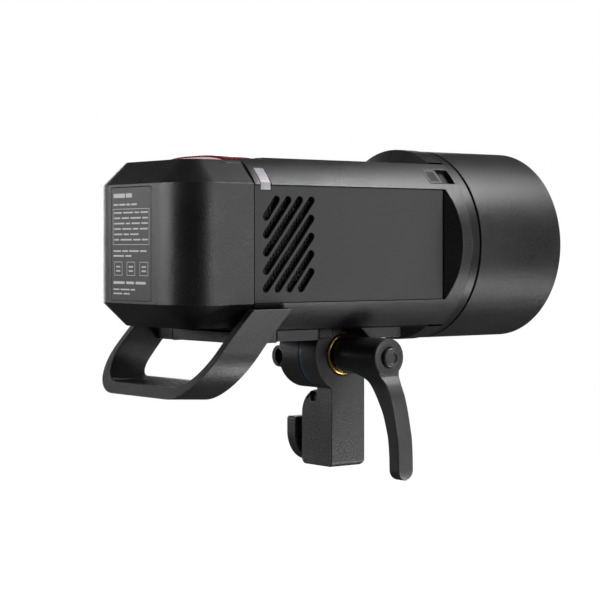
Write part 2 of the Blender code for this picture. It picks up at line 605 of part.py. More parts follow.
# saddle that fits the body's lower corners, and the plate between the legs
def slab(x0, x1):
    """Room behind the slanting front edge of the legs."""
    front = [(lean(z) - 29.7, z) for z in (-39.5 - 23.5 * i / 5 for i in range(6))]
    return outline('YZ', front + [(3.0, -63.0), (3.0, -39.5)], (x0, x1))


wings = put("wings", box((-54.0, 54.0), (-29.9, 1.5), (-61.6, -54.5)), (0, 0, -56), cutter=True)
for s in (-1, 1):
    t0 = math.degrees(math.acos(53.5 / 65.45))
    t1 = math.degrees(math.asin(54.45 / 65.45))
    pts = [(s * x, -z) for x, z in arc(0, 0, 65.45, t0, t1, 5)]
    pts = [(s * 53.5, -40.0)] + [p for p in pts if p[1] < -40.2] + [(s * 34.0, -54.45), (s * 34.0, -61.8), (s * 56.0, -61.8), (s * 58.5, -56.0), (s * 58.5, -40.0)]
    join(wings, outline('XZ', pts, (-29.8, 1.6)))
room = put("room", slab(-70.0, 70.0), (0, 0, -56), cutter=True)
join(room, box((-36.0, 36.0), (-32.0, 5.0), (-66.0, -50.0)))
common(wings, room)
join(handle, wings)

plan = [(36, -30.2), (-36, -30.2), (-36, -63.0), (-17.4, -79.0), (-17.4, -96.0), (-36, -96.0)]
plan += arc(-28.0, -129.0, 8.0, 180, 270, 4) + arc(28.0, -129.0, 8.0, 270, 360, 4)
boss = arc(28.0, -75.0, 7.2, -90, 90, 8) + arc(26.0, -75.0, 7.2, 90, 270, 8)
mount = put("tilt_mount", outline('XY', plan, (-61.4, -54.35)), (0, *TILT), CAST)
join(mount, rod('X', TILT, 23.3, (3.1, 25.0), seg=36))
join(mount, outline('XZ', boss, (-121.0, -79.4)))
join(mount, box((21.0, 33.0), (-114.0, -87.0), (-73.0, -57.0)))
cut(mount, rod('Y', (26.0, -75.0), 5.0, (-130.0, -70.0), seg=16))
cut(mount, rod('X', TILT, 24.7, (-17.35, 3.05), seg=36))
cut(mount, outline('YZ', [(-90, -50), (-96.5, -50), (-97.9, -54.1), (-106.9, -61.6), (-106.9, -66), (-90, -66)], (-60, -17.2)))
cut(mount, rod('X', TILT, 5.4, (-10, 17.4), seg=24))
SCREWS = ((-27.0, -42.0), (27.0, -42.0), (-25.0, -126.0), (25.0, -126.0))
for i, (x, y) in enumerate(SCREWS):
    cut(mount, rod('Z', (x, y), 2.3, (-70, -50), seg=10))
    cut(mount, rod('Z', (x, y), 4.4, (-70, -58.0), seg=14))
    sc = put("mount_screw_%d" % (i + 1), rod('Z', (x, y), 4.0, (-61.0, -58.3), seg=14), (x, y, -58), STEEL)
    join(sc, rod('Z', (x, y), 1.95, (-58.9, -54.4), seg=10))
    cut(sc, rod('Z', (x, y), 1.7, (-62.6, -59.6), seg=6))

# =============================================================================
# Stand bracket, clamp lever and lock knob
# =============================================================================
ty, tz = TILT
a0 = math.degrees(math.asin((STEM[0] - ty) / R_EAR))      # rear tangent angle from straight down
a1 = math.degrees(math.asin((ty - STEM[1]) / R_EAR))
ear = [(STEM[0], STEM_Z)]
ear += arc(ty, tz, R_EAR, -90 + a0, 270 - a1, 30)
ear += [(STEM[1], STEM_Z + 3.5)] + arc(STEM[1] + 3.5, STEM_Z + 3.5, 3.5, 180, 270, 4)[1:]
bracket = put("bracket_body", outline('YZ', ear, (-16.0, 0.1)), (0, SOCKET[0], STEM_Z), CAST)
shoulder = [(-2.5, STEM_Z)] + arc(12.5, STEM_Z + 4.0, 4.0, 270, 360, 4) + arc(0, -112.95, 16.5, 0, 90, 8) + [(-2.5, -96.45)]
join(bracket, outline('XZ', shoulder, (STEM[1], STEM[0])))
front = [(STEM[1] - 4, STEM_Z - 4), (STEM[1] + 3.5, STEM_Z - 4)] + arc(STEM[1] + 3.5, STEM_Z + 3.5, 3.5, 270, 180, 4) + [(STEM[1] - 4, STEM_Z + 3.5)]
cut(bracket, outline('YZ', front, (-30, 30)))
cut(bracket, rod('Z', (0, SOCKET[0]), SOCKET[1], (STEM_Z - 2, SOCKET[2]), seg=32))
cut(bracket, rod('X', LOCK, 4.1, (4, 25), seg=24))
cut(bracket, rod('X', TILT, 5.4, (-25, 5), seg=24))
cut(bracket, rod('X', TILT, 13.9, (-25, -14.4), seg=48))
cut(bracket, box((0.9, 6.6), (-93.2, -88.0), (-104.2, -98.4)))
turned("blue_ring", [(5.4, 0.4), (23.2, 0.4), (23.2, 2.8), (5.4, 2.8)], (0, ty, tz), BLUE, axis='X', seg=36)
turned("brass_washer", [(5.5, -17.0), (13.6, -17.0), (13.6, -14.7), (5.5, -14.7)], (-16, ty, tz), BRASS, axis='X', seg=32)

turned("clamp_stud", [(0, -57.4), (5.0, -57.4), (5.0, 16.8), (0, 16.8)], (0, ty, tz), STEEL, axis='X', seg=24)
turned("lever_screw", [(0, -65.2), (5.6, -65.2), (6.4, -64.4), (6.4, -57.8), (0, -57.8)], (-60, ty, tz), BLACK, axis='X', seg=24)
coil("lever_spring", 'X', TILT, 5.95, 0.45, (-57.4, -35.4), 4.0, STEEL, 10)

TIP = -150.5
OUTER = ((12.4, -62.0), (-12.0, -62.4), (-16.0, -66.0), (-24.0, -69.5), (-36.0, -72.0), (-52.0, -75.0), (-62.0, -75.5), (-79.5, -75.5))
INNER = ((-79.5, -66.0), (-62.0, -65.8), (-53.0, -65.2), (-45.0, -63.6), (-36.0, -61.0), (-24.0, -54.5), (-14.5, -47.0), (-11.8, -40.0), (-10.2, -33.0), (10.0, -33.0), (12.4, -50.0))
front_view = [(x, tz + z) for z, x in OUTER + INNER]
side_view = arc(ty, tz, 12.5, -32, 212, 16)
side_view += [(ty - 8.0, tz - 13.5), (ty - 7.2, tz - 18.0)]
side_view += arc(ty - 2.6, TIP + 6.5, 6.5, 180, 360, 8)
side_view += [(ty + 6.0, tz - 18.0), (ty + 7.4, tz - 13.5)]
lever = put("lever", outline('XZ', front_view, (ty - 30, ty + 30)), (-50, ty, tz), CAST)
common(lever, outline('YZ', side_view, (-90, -20)))
hub = turned("cut_lever_hub", [(0, -61.995), (12.5, -61.995), (12.5, -22.0), (9.5, -17.5), (0, -17.5)], (-40, ty, tz), axis='X', seg=32, cutter=True)
join(lever, hub)
cut(lever, rod('X', TILT, 5.5, (-80, -10), seg=16))
cut(lever, rod('X', TILT, 6.9, (-80, -35.0), seg=24))

ly, lz = LOCK
wing = [(ly + 15.5, -115.6), (ly - 15.5, -115.6)] + arc(ly - 15.5, -117.6, 2.0, 100, 180, 2)
wing += [(ly + 17.5 * math.cos(math.radians(a)), -126.0 + 20.0 * math.sin(math.radians(a))) for a in range(180, 361, 12)]
wing += arc(ly + 15.5, -117.6, 2.0, 0, 80, 2)
knob = put("stand_knob", outline('YZ', wing, (19.2, 28.5)), (22, ly, lz), CAST)
join(knob, rod('X', LOCK, 8.0, (17.0, 20.0), seg=28))
join(knob, rod('X', LOCK, 3.7, (8.9, 18.0), seg=20))
put("lock_pad", rod('X', LOCK, 3.7, (6.4, 8.5), seg=20), (7.4, ly, lz), BRASS)

for ob in PARTS.objects:
    if ob.type == 'MESH':
        ob.data.shade_flat()
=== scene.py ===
"""Looks of a monolight strobe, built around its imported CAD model.

Shapes are drawn in head millimetres (the optical axis crosses the seam between body and
battery at the origin, the light faces -Y) and moved to the frame's metres when finished.
"""
import json
import math

import bmesh
import bpy
from mathutils import Matrix, Vector

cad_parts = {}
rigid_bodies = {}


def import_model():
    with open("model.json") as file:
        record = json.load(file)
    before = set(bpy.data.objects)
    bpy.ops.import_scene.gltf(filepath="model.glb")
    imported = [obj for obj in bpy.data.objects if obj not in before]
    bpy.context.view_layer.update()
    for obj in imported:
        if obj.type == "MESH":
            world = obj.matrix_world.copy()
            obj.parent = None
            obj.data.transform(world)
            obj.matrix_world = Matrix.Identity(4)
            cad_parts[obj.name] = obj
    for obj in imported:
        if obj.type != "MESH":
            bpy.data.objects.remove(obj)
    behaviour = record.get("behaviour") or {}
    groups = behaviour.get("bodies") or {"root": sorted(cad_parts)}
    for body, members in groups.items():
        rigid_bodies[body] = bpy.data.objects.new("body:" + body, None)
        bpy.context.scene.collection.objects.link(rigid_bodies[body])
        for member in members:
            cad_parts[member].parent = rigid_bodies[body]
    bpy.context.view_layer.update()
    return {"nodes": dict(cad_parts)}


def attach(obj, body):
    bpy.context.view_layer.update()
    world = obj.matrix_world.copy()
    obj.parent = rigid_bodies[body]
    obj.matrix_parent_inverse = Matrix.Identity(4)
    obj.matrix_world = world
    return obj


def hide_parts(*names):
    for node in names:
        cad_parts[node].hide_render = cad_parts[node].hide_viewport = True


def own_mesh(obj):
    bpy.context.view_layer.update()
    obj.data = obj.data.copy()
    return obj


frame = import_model()
NODES = frame["nodes"]

FRAME = Vector((0.0, 104.5, 146.8))
R_BODY, HX, HZ = 65.0, 53.0, 54.0
Y_PANEL, Y_COLLAR = -156.2, -170.6
R_IN, WALL_X, FLOOR_X, WALL_Z, PANEL_Z, GAP = 60.0, 47.6, 50.2, 51.5, 36.2, 0.3
HX_LIP = 54.05
Y_RING, Y_CAP0, Y_CAP1, R_CAP = -178.0, -179.6, -255.9, 64.5
Y_BATT, BATT_INSET, BATT_ZS, BATT_R = 53.8, 14.7, 37.0, 25.0
TILT, R_EAR = (-100.5, -72.8), 24.0
STEM, STEM_Z = (-90.3, -118.6), -146.8
SOCKET, LOCK = (-104.5, 8.1, -99.0), (-104.5, -128.0)
H_W, H_R, H_Z, H_T, H_TOP = 59.5, 29.0, -94.0, 6.1, -40.0
ty, tz = TILT

work = bpy.data.collections.new("work")
bpy.context.scene.collection.children.link(work)
looks = bpy.data.collections.new("looks")
bpy.context.scene.collection.children.link(looks)


# =============================================================================
# Materials
# =============================================================================
def new_material(name):
    m = bpy.data.materials.new(name)
    m.use_nodes = True
    nt = m.node_tree
    return m, nt, nt.nodes["Principled BSDF"]


def add(nt, kind, **inputs):
    n = nt.nodes.new(kind)
    for k, v in inputs.items():
        key = k.replace("_", " ")
        if key in n.inputs:
            n.inputs[key].default_value = v
        else:
            setattr(n, k, v)
    return n


def coords(nt):
    return add(nt, "ShaderNodeTexCoord").outputs["Object"]


def ramp(nt, fac, stops):
    r = nt.nodes.new("ShaderNodeValToRGB")
    cr = r.color_ramp
    while len(cr.elements) < len(stops):
        cr.elements.new(0.5)
    for e, (p, c) in zip(cr.elements, stops):
        e.position = p
        e.color = (*c, 1.0) if len(c) == 3 else c
    nt.links.new(fac, r.inputs["Fac"])
    return r.outputs["Color"]


def noise(nt, vec, scale, detail=2.0, rough=0.5):
    n = nt.nodes.new("ShaderNodeTexNoise")
    n.inputs["Scale"].default_value = scale
    n.inputs["Detail"].default_value = detail
    n.inputs["Roughness"].default_value = rough
    nt.links.new(vec, n.inputs["Vector"])
    return n.outputs["Fac"]


def voronoi(nt, vec, scale, feature="F1", rand=1.0):
    n = nt.nodes.new("ShaderNodeTexVoronoi")
    n.feature = feature
    n.inputs["Scale"].default_value = scale
    n.inputs["Randomness"].default_value = rand
    nt.links.new(vec, n.inputs["Vector"])
    return n


def math_node(nt, op, a, b=None):
    n = nt.nodes.new("ShaderNodeMath")
    n.operation = op
    for i, v in enumerate((a, b)):
        if v is None:
            continue
        if isinstance(v, (int, float)):
            n.inputs[i].default_value = v
        else:
            nt.links.new(v, n.inputs[i])
    return n.outputs[0]


def bump(nt, bsdf, height, strength, distance):
    b = nt.nodes.new("ShaderNodeBump")
    b.inputs["Strength"].default_value = strength
    b.inputs["Distance"].default_value = distance
    nt.links.new(height, b.inputs["Height"])
    nt.links.new(b.outputs["Normal"], bsdf.inputs["Normal"])


def textured(name, dark, light, rough, grain=1100.0, depth=0.00010, strength=0.5, fleck=0.0, metal=0.0, wear=0.0, spec=0.5, spread=0.06):
    """Moulded or powder-coated surface: grain in colour, gloss and relief, light flecks, softly worn edges."""
    m, nt, b = new_material(name)
    v = coords(nt)
    fine = noise(nt, v, grain, 2.0, 0.55)
    broad = noise(nt, v, 38.0, 3.0, 0.5)
    mix = math_node(nt, "ADD", math_node(nt, "MULTIPLY", fine, 0.75), math_node(nt, "MULTIPLY", broad, 0.25))
    col = ramp(nt, mix, [(0.36, dark), (0.62, light)])
    if fleck > 0:
        spot = noise(nt, v, grain * 1.35, 1.0, 0.5)
        f = ramp(nt, spot, [(0.54, (0, 0, 0)), (0.68, (fleck,) * 3)])
        mx = nt.nodes.new("ShaderNodeMix")
        mx.data_type = 'RGBA'
        mx.blend_type = 'ADD'
        mx.inputs["Factor"].default_value = 1.0
        nt.links.new(col, mx.inputs[6])
        nt.links.new(f, mx.inputs[7])
        col = mx.outputs[2]
    if wear > 0:
        g = nt.nodes.new("ShaderNodeNewGeometry")
        e = ramp(nt, g.outputs["Pointiness"], [(0.52, (0, 0, 0)), (0.60, (wear,) * 3)])
        mx = nt.nodes.new("ShaderNodeMix")
        mx.data_type = 'RGBA'
        mx.blend_type = 'ADD'
        mx.inputs["Factor"].default_value = 1.0
        nt.links.new(col, mx.inputs[6])
        nt.links.new(e, mx.inputs[7])
        col = mx.outputs[2]
    nt.links.new(col, b.inputs["Base Color"])
    r = ramp(nt, mix, [(0.36, (rough - spread,) * 3), (0.64, (rough + spread,) * 3)])
    nt.links.new(r, b.inputs["Roughness"])
    b.inputs["Metallic"].default_value = metal
    b.inputs["Specular IOR Level"].default_value = spec
    bump(nt, b, fine, strength, depth)
    return m


def brushed(name, dark, light, rough, stretch, scale=900.0, metal=1.0):
    """Turned or drawn metal: fine lines stretched along one axis."""
    m, nt, b = new_material(name)
    mp = nt.nodes.new("ShaderNodeMapping")
    mp.inputs["Scale"].default_value = stretch
    nt.links.new(coords(nt), mp.inputs["Vector"])
    lines = noise(nt, mp.outputs["Vector"], scale, 3.0, 0.6)
    nt.links.new(ramp(nt, lines, [(0.3, dark), (0.7, light)]), b.inputs["Base Color"])
    nt.links.new(ramp(nt, lines, [(0.3, (rough - 0.08,) * 3), (0.7, (rough + 0.08,) * 3)]), b.inputs["Roughness"])
    b.inputs["Metallic"].default_value = metal
    bump(nt, b, lines, 0.15, 0.00005)
    return m


CHARCOAL = textured("charcoal_sparkle", (0.008, 0.008, 0.0085), (0.021, 0.021, 0.022), 0.37, 1700.0, 0.00016, 1.0, 0.006, spec=0.6, spread=0.11)
PANEL = textured("grey_panel", (0.035, 0.035, 0.036), (0.044, 0.044, 0.045), 0.60, 2300.0, 0.00003, 0.25, 0.0)
RING = textured("ring_black", (0.008, 0.008, 0.0085), (0.013, 0.013, 0.014), 0.36, 2600.0, 0.00003, 0.2)
BLACK = textured("black_plastic", (0.010, 0.010, 0.011), (0.018, 0.018, 0.019), 0.42, 1700.0, 0.00004, 0.3)
# near-black; on the slider floor it is its own colour, on the handle's groove walls it is painted shade for the
# recesses
BLACK_AND_GROOVE_SHADE = textured("black_and_painted_groove_shade", (0.006, 0.006, 0.006), (0.012, 0.012, 0.012), 0.60, 1500.0, 0.0001, 0.5)
CAST = textured("black_powder_coat", (0.022, 0.022, 0.023), (0.040, 0.040, 0.041), 0.42, 1000.0, 0.00024, 1.0, 0.012, spread=0.10)
BRACKET_M = textured("bracket_coat", (0.028, 0.028, 0.029), (0.052, 0.052, 0.053), 0.42, 1000.0, 0.00024, 1.0, 0.012, spread=0.10)
LEVER_M = textured("lever_satin", (0.030, 0.030, 0.031), (0.044, 0.044, 0.045), 0.40, 1900.0, 0.00005, 0.35, 0.006)
HANDLE_M = textured("handle_coat", (0.026, 0.026, 0.027), (0.042, 0.042, 0.043), 0.38, 1100.0, 0.00014, 1.0, 0.010, spread=0.08)
RUBBER = textured("rubber", (0.010, 0.010, 0.010), (0.018, 0.018, 0.018), 0.78, 1300.0, 0.00008, 0.5)
STEEL = brushed("steel", (0.42, 0.42, 0.43), (0.66, 0.66, 0.67), 0.30, (0.06, 1.0, 1.0))
MESHM = textured("vent_mesh_black", (0.004, 0.004, 0.004), (0.010, 0.010, 0.010), 0.6, 900.0, 0.0001, 0.5, 0.0, 0.4)
BRASS = brushed("brass", (0.62, 0.36, 0.08), (0.88, 0.60, 0.20), 0.24, (1.0, 0.08, 0.08), 700.0)
ALU = brushed("aluminium", (0.62, 0.62, 0.63), (0.80, 0.80, 0.81), 0.34, (1.0, 0.05, 1.0))
BLUE = textured("blue_ring", (0.020, 0.085, 0.16), (0.035, 0.125, 0.22), 0.34, 2000.0, 0.00003, 0.3)
CERAMIC = textured("ceramic", (0.66, 0.65, 0.60), (0.80, 0.79, 0.75), 0.55, 1400.0, 0.00005, 0.3)
SLEEVE = textured("blue_sleeve", (0.012, 0.035, 0.12), (0.022, 0.055, 0.18), 0.32, 500.0, 0.00005, 0.2)


def board_material():
    m, nt, b = new_material("circuit_board")
    v = coords(nt)
    br = nt.nodes.new("ShaderNodeTexBrick")
    br.inputs["Scale"].default_value = 120.0
    br.inputs["Color1"].default_value = (0.012, 0.11, 0.04, 1)
    br.inputs["Color2"].default_value = (0.016, 0.15, 0.055, 1)
    br.inputs["Mortar"].default_value = (0.05, 0.24, 0.10, 1)
    br.inputs["Mortar Size"].default_value = 0.03
    nt.links.new(v, br.inputs["Vector"])
    nt.links.new(br.outputs["Color"], b.inputs["Base Color"])
    b.inputs["Roughness"].default_value = 0.4
    bump(nt, b, br.outputs["Fac"], 0.3, 0.0001)
    return m


def red_material():
    m, nt, b = new_material("red_gloss")
    n = noise(nt, coords(nt), 900.0, 2.0)
    nt.links.new(ramp(nt, n, [(0.3, (0.20, 0.004, 0.010)), (0.7, (0.32, 0.008, 0.018))]), b.inputs["Base Color"])
    nt.links.new(ramp(nt, n, [(0.3, (0.20,) * 3), (0.7, (0.30,) * 3)]), b.inputs["Roughness"])
    b.inputs["Coat Weight"].default_value = 0.5
    b.inputs["Coat Roughness"].default_value = 0.15
    bump(nt, b, n, 0.2, 0.00003)
    return m


def pale_material():
    m, nt, b = new_material("light_pipe")
    n = noise(nt, coords(nt), 260.0, 3.0)
    nt.links.new(ramp(nt, n, [(0.3, (0.55, 0.52, 0.57)), (0.7, (0.66, 0.63, 0.67))]), b.inputs["Base Color"])
    nt.links.new(ramp(nt, n, [(0.3, (0.26,) * 3), (0.7, (0.38,) * 3)]), b.inputs["Roughness"])
    b.inputs["Subsurface Weight"].default_value = 0.25
    b.inputs["Subsurface Scale"].default_value = 0.002
    return m


def glass_material(name, tint, rough):
    m, nt, b = new_material(name)
    n = noise(nt, coords(nt), 60.0, 2.0)
    nt.links.new(ramp(nt, n, [(0.3, tint), (0.7, tuple(min(1.0, c * 1.03) for c in tint))]), b.inputs["Base Color"])
    nt.links.new(ramp(nt, n, [(0.3, (rough,) * 3), (0.7, (rough + 0.03,) * 3)]), b.inputs["Roughness"])
    b.inputs["Transmission Weight"].default_value = 0.95
    b.inputs["IOR"].default_value = 1.47
    return m


def lcd_material():
    m, nt, b = new_material("display_window")
    n = noise(nt, coords(nt), 50.0, 2.0)
    nt.links.new(ramp(nt, n, [(0.3, (0.008, 0.012, 0.015)), (0.7, (0.014, 0.020, 0.024))]), b.inputs["Base Color"])
    nt.links.new(ramp(nt, n, [(0.3, (0.05,) * 3), (0.7, (0.10,) * 3)]), b.inputs["Roughness"])
    b.inputs["Coat Weight"].default_value = 0.6
    return m


def label_material():
    m, nt, b = new_material("label_film")
    n = noise(nt, coords(nt), 1500.0, 2.0)
    nt.links.new(ramp(nt, n, [(0.3, (0.030, 0.030, 0.031)), (0.7, (0.038, 0.038, 0.039))]), b.inputs["Base Color"])
    nt.links.new(ramp(nt, n, [(0.3, (0.42,) * 3), (0.7, (0.50,) * 3)]), b.inputs["Roughness"])
    bump(nt, b, n, 0.1, 0.00002)
    return m


def ink_material(name, lo, hi):
    m, nt, b = new_material(name)
    n = noise(nt, coords(nt), 2200.0, 1.0)
    nt.links.new(ramp(nt, n, [(0.3, lo), (0.7, hi)]), b.inputs["Base Color"])
    nt.links.new(ramp(nt, n, [(0.3, (0.45,) * 3), (0.7, (0.60,) * 3)]), b.inputs["Roughness"])
    return m


BOARD, RED, PALE = board_material(), red_material(), pale_material()
DOME, TUBE = glass_material("dome_glass", (0.93, 0.96, 0.97), 0.02), glass_material("tube_glass", (0.97, 0.95, 0.90), 0.05)
LCD, LABEL = lcd_material(), label_material()
INK = ink_material("print_grey", (0.60, 0.60, 0.60), (0.72, 0.72, 0.72))
INK_WHITE = ink_material("print_white", (0.70, 0.70, 0.70), (0.82, 0.82, 0.82))


# =============================================================================
# Forms, in head millimetres
# =============================================================================
def box(x, y, z):
    bm = bmesh.new()
    bmesh.ops.create_cube(bm, size=1.0)
    bmesh.ops.scale(bm, verts=bm.verts, vec=(x[1] - x[0], y[1] - y[0], z[1] - z[0]))
    bmesh.ops.translate(bm, verts=bm.verts, vec=((x[0] + x[1]) / 2, (y[0] + y[1]) / 2, (z[0] + z[1]) / 2))
    return bm


def turn_to(axis):
    if axis == 'X':
        return Matrix.Rotation(math.pi / 2, 4, 'Y')
    if axis == 'Y':
        return Matrix.Rotation(-math.pi / 2, 4, 'X')
    return Matrix.Identity(4)


def rod(axis, centre, r, span, seg=64, r2=None):
    bm = bmesh.new()
    bmesh.ops.create_cone(bm, cap_ends=True, cap_tris=False, segments=seg,
                          radius1=r, radius2=r if r2 is None else r2, depth=span[1] - span[0])
    bmesh.ops.rotate(bm, verts=bm.verts, cent=(0, 0, 0), matrix=turn_to(axis).to_3x3())
    mid = (span[0] + span[1]) / 2
    a, b = centre
    bmesh.ops.translate(bm, verts=bm.verts, vec={'X': (mid, a, b), 'Y': (a, mid, b), 'Z': (a, b, mid)}[axis])
    return bm


def extruded(plane, loop, span):
    """A closed outline given a thickness, as one face each end."""
    bm = bmesh.new()
    rows = []
    for c in span:
        rows.append([bm.verts.new({'XY': (a, b, c), 'XZ': (a, c, b), 'YZ': (c, a, b)}[plane]) for a, b in loop])
    n = len(loop)
    for i in range(n):
        j = (i + 1) % n
        bm.faces.new((rows[0][i], rows[0][j], rows[1][j], rows[1][i]))
    bm.faces.new(rows[0][::-1])
    bm.faces.new(rows[1])
    bmesh.ops.recalc_face_normals(bm, faces=bm.faces)
    return bm


def lathe(axis, centre, profile, seg=96):
    """Turns (radius, position) points about an axis; ends on the axis close as a fan."""
    bm = bmesh.new()
    closed = not (profile[0][0] < 1e-6 and profile[-1][0] < 1e-6)
    rings = []
    for r, h in profile:
        if r < 1e-6:
            rings.append([bm.verts.new((0, 0, h))])
        else:
            rings.append([bm.verts.new((r * math.cos(2 * math.pi * k / seg), r * math.sin(2 * math.pi * k / seg), h)) for k in range(seg)])
    pairs = list(zip(rings[:-1], rings[1:])) + ([(rings[-1], rings[0])] if closed else [])
    for a, b in pairs:
        for k in range(seg):
            l = (k + 1) % seg
            if len(a) == 1 and len(b) == 1:
                continue
            if len(a) == 1:
                bm.faces.new((a[0], b[k], b[l]))
            elif len(b) == 1:
                bm.faces.new((a[k], a[l], b[0]))
            else:
                bm.faces.new((a[k], a[l], b[l], b[k]))
    bmesh.ops.rotate(bm, verts=bm.verts, cent=(0, 0, 0), matrix=turn_to(axis).to_3x3())
    a, b = centre
    bmesh.ops.translate(bm, verts=bm.verts, vec={'X': (0, a, b), 'Y': (a, 0, b), 'Z': (a, b, 0)}[axis])
    bmesh.ops.recalc_face_normals(bm, faces=bm.faces)
    return bm


def soften(profile, r, n=3):
    """Rounds the corners of a (radius, position) profile."""
    out = []
    m = len(profile)
    closed = not (profile[0][0] < 1e-6 and profile[-1][0] < 1e-6)
    for i, p in enumerate(profile):
        if p[0] < 1e-6 or (not closed and i in (0, m - 1)):
            out.append(p)
            continue
        a, b, c = Vector(profile[i - 1]), Vector(p), Vector(profile[(i + 1) % m])
        u, w = a - b, c - b
        if u.length < 1e-6 or w.length < 1e-6 or u.angle(w) > math.radians(165):
            out.append(p)
            continue
        d = min(r, u.length * 0.45, w.length * 0.45)
        s, e = b + u.normalized() * d, b + w.normalized() * d
        for k in range(n + 1):
            t = k / n
            q = s * (1 - t) ** 2 + b * 2 * t * (1 - t) + e * t ** 2
            out.append((q.x, q.y))
    return out


def arc(cx, cy, r, a0, a1, n):
    return [(cx + r * math.cos(math.radians(a0 + (a1 - a0) * i / n)),
             cy + r * math.sin(math.radians(a0 + (a1 - a0) * i / n))) for i in range(n + 1)]


def curve_through(points, per=6):
    """Catmull-Rom through the points of an open polyline."""
    out = []
    n = len(points)
    for i in range(n - 1):
        p = [Vector(points[max(0, min(n - 1, j))]) for j in (i - 1, i, i + 1, i + 2)]
        for k in range(per):
            t = k / per
            q = 0.5 * ((2 * p[1]) + (p[2] - p[0]) * t + (2 * p[0] - 5 * p[1] + 4 * p[2] - p[3]) * t ** 2
                       + (3 * p[1] - p[0] - 3 * p[2] + p[3]) * t ** 3)
            out.append(tuple(q))
    out.append(tuple(points[-1]))
    return out


def octagon(hx, hz, r, n=14):
    a, b = math.degrees(math.acos(hx / r)), math.degrees(math.asin(hz / r))
    pts = []
    for k in range(4):
        q = arc(0, 0, r, a, b, n)
        if k == 1:
            q = [(-x, y) for x, y in q[::-1]]
        elif k == 2:
            q = [(-x, -y) for x, y in q]
        elif k == 3:
            q = [(x, -y) for x, y in q[::-1]]
        pts += q
    return pts


def solid(bm, name="work"):
    bmesh.ops.recalc_face_normals(bm, faces=bm.faces)
    me = bpy.data.meshes.new(name)
    bm.to_mesh(me)
    bm.free()
    ob = bpy.data.objects.new(name, me)
    work.objects.link(ob)
    return ob


def settle(ob):
    """Applies an object's modifiers."""
    deps = bpy.context.evaluated_depsgraph_get()
    me = bpy.data.meshes.new_from_object(ob.evaluated_get(deps))
    ob.modifiers.clear()
    old = ob.data
    ob.data = me
    bpy.data.meshes.remove(old)
    return ob


def boolean(ob, other, how):
    keep = isinstance(other, bpy.types.Object)
    if not keep:
        other = solid(other, "tool")
    md = ob.modifiers.new("b", 'BOOLEAN')
    md.operation = how
    md.solver = 'EXACT'
    md.object = other
    settle(ob)
    me = other.data
    bpy.data.objects.remove(other, do_unlink=True)
    bpy.data.meshes.remove(me)
    return ob


def cut(ob, other):
    return boolean(ob, other, 'DIFFERENCE')


def join(ob, other):
    return boolean(ob, other, 'UNION')


def common(ob, other):
    return boolean(ob, other, 'INTERSECT')


def piece(ob, name, body, nodes, mat, bevel=0.4, seg=2, angle=30, sharp=38, clean=True):
    """Bevels, smooths and hands a finished shape to the frame."""
    if isinstance(ob, bmesh.types.BMesh):
        ob = solid(ob, name)
    bm = bmesh.new()
    bm.from_mesh(ob.data)
    bmesh.ops.remove_doubles(bm, verts=bm.verts, dist=0.004)
    if clean:
        bmesh.ops.dissolve_limit(bm, angle_limit=math.radians(0.4), verts=bm.verts, edges=bm.edges, delimit=set())
    bmesh.ops.recalc_face_normals(bm, faces=bm.faces)
    bm.to_mesh(ob.data)
    bm.free()
    if bevel:
        md = ob.modifiers.new("bevel", 'BEVEL')
        md.width = bevel
        md.segments = seg
        md.limit_method = 'ANGLE'
        md.angle_limit = math.radians(angle)
        md.use_clamp_overlap = False
        md.miter_outer = 'MITER_ARC'
        md.harden_normals = False
        settle(ob)
    me = ob.data
    me.transform(Matrix.Translation(FRAME))
    me.transform(Matrix.Scale(0.001, 4))
    me.shade_smooth()
    me.set_sharp_from_angle(angle=math.radians(sharp))
    md = ob.modifiers.new("weighted", 'WEIGHTED_NORMAL')
    md.keep_sharp = True
    md.weight = 90
    settle(ob)
    ob.name = name
    ob.data.name = name
    work.objects.unlink(ob)
    looks.objects.link(ob)
    ob.data.materials.clear()
    ob.data.materials.append(mat)
    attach(ob, body)
    if nodes:
        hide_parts(*nodes)
    return ob


def dress(node, mat):
    """A CAD node that keeps its shape takes a finished material."""
    ob = NODES[node]
    if not ob.material_slots:
        ob.data.materials.append(mat)
    for s in ob.material_slots:
        s.material = mat


# =============================================================================
# Housing
# =============================================================================
whole = solid(rod('Y', (0, 0), R_BODY, (Y_COLLAR, -0.15), seg=180))
K_SIDE, K_CONE = 0.517, 0.51
for s in (-1, 1):
    y_lip = Y_PANEL - K_SIDE * (HX_LIP - HX)
    cut(whole, extruded('XY', [(s * HX_LIP, 6), (s * HX_LIP, y_lip), (s * 82, Y_PANEL - K_SIDE * 29), (s * 82, 6)], (-80, 80)))
    cut(whole, extruded('XY', [(s * HX, 7), (s * HX, Y_PANEL), (s * HX_LIP, y_lip), (s * (HX_LIP + 3), y_lip), (s * (HX_LIP + 3), 7)],
                     (-PANEL_Z - 0.25, PANEL_Z + 0.25)))
    a, b = sorted((s * HZ, s * 84))
    wedge = solid(box((-80, 80), (-169.5, 6), (a, b)))
    cut(wedge, rod('Y', (0, 0), 65.0 + 13.0 / K_CONE, (-170.0, -145.0), seg=180, r2=65.0 - 12.0 / K_CONE))
    cut(whole, wedge)
inner = solid(extruded('XZ', octagon(WALL_X, WALL_Z, R_IN), (-163.2, 1.0)))
cut(inner, box((-41, 41), (-20.5, 3.0), (42.8, 56)))
cut(inner, box((-20, 29), (-128, -73), (-56, -44.5)))
cut(whole, inner)
cut(whole, rod('Y', (0, 0), R_IN, (-172, -162.6), seg=120))
cut(whole, box((-37.8, 37.8), (-18.0, 2.0), (45.0, 60.0)))
cut(whole, rod('X', TILT, 25.2, (-17.6, 26.2), seg=96))
for s in (-1, 1):
    a, b = sorted((s * FLOOR_X, s * 56))
    cut(whole, box((a, b), (Y_PANEL - GAP, 2.0), (-PANEL_Z - 0.25, PANEL_Z + 0.25)))
    a, b = sorted((s * 45, s * 52))
    cut(whole, box((a, b), (-49.0, -5.0), (-32.0, 32.0)))
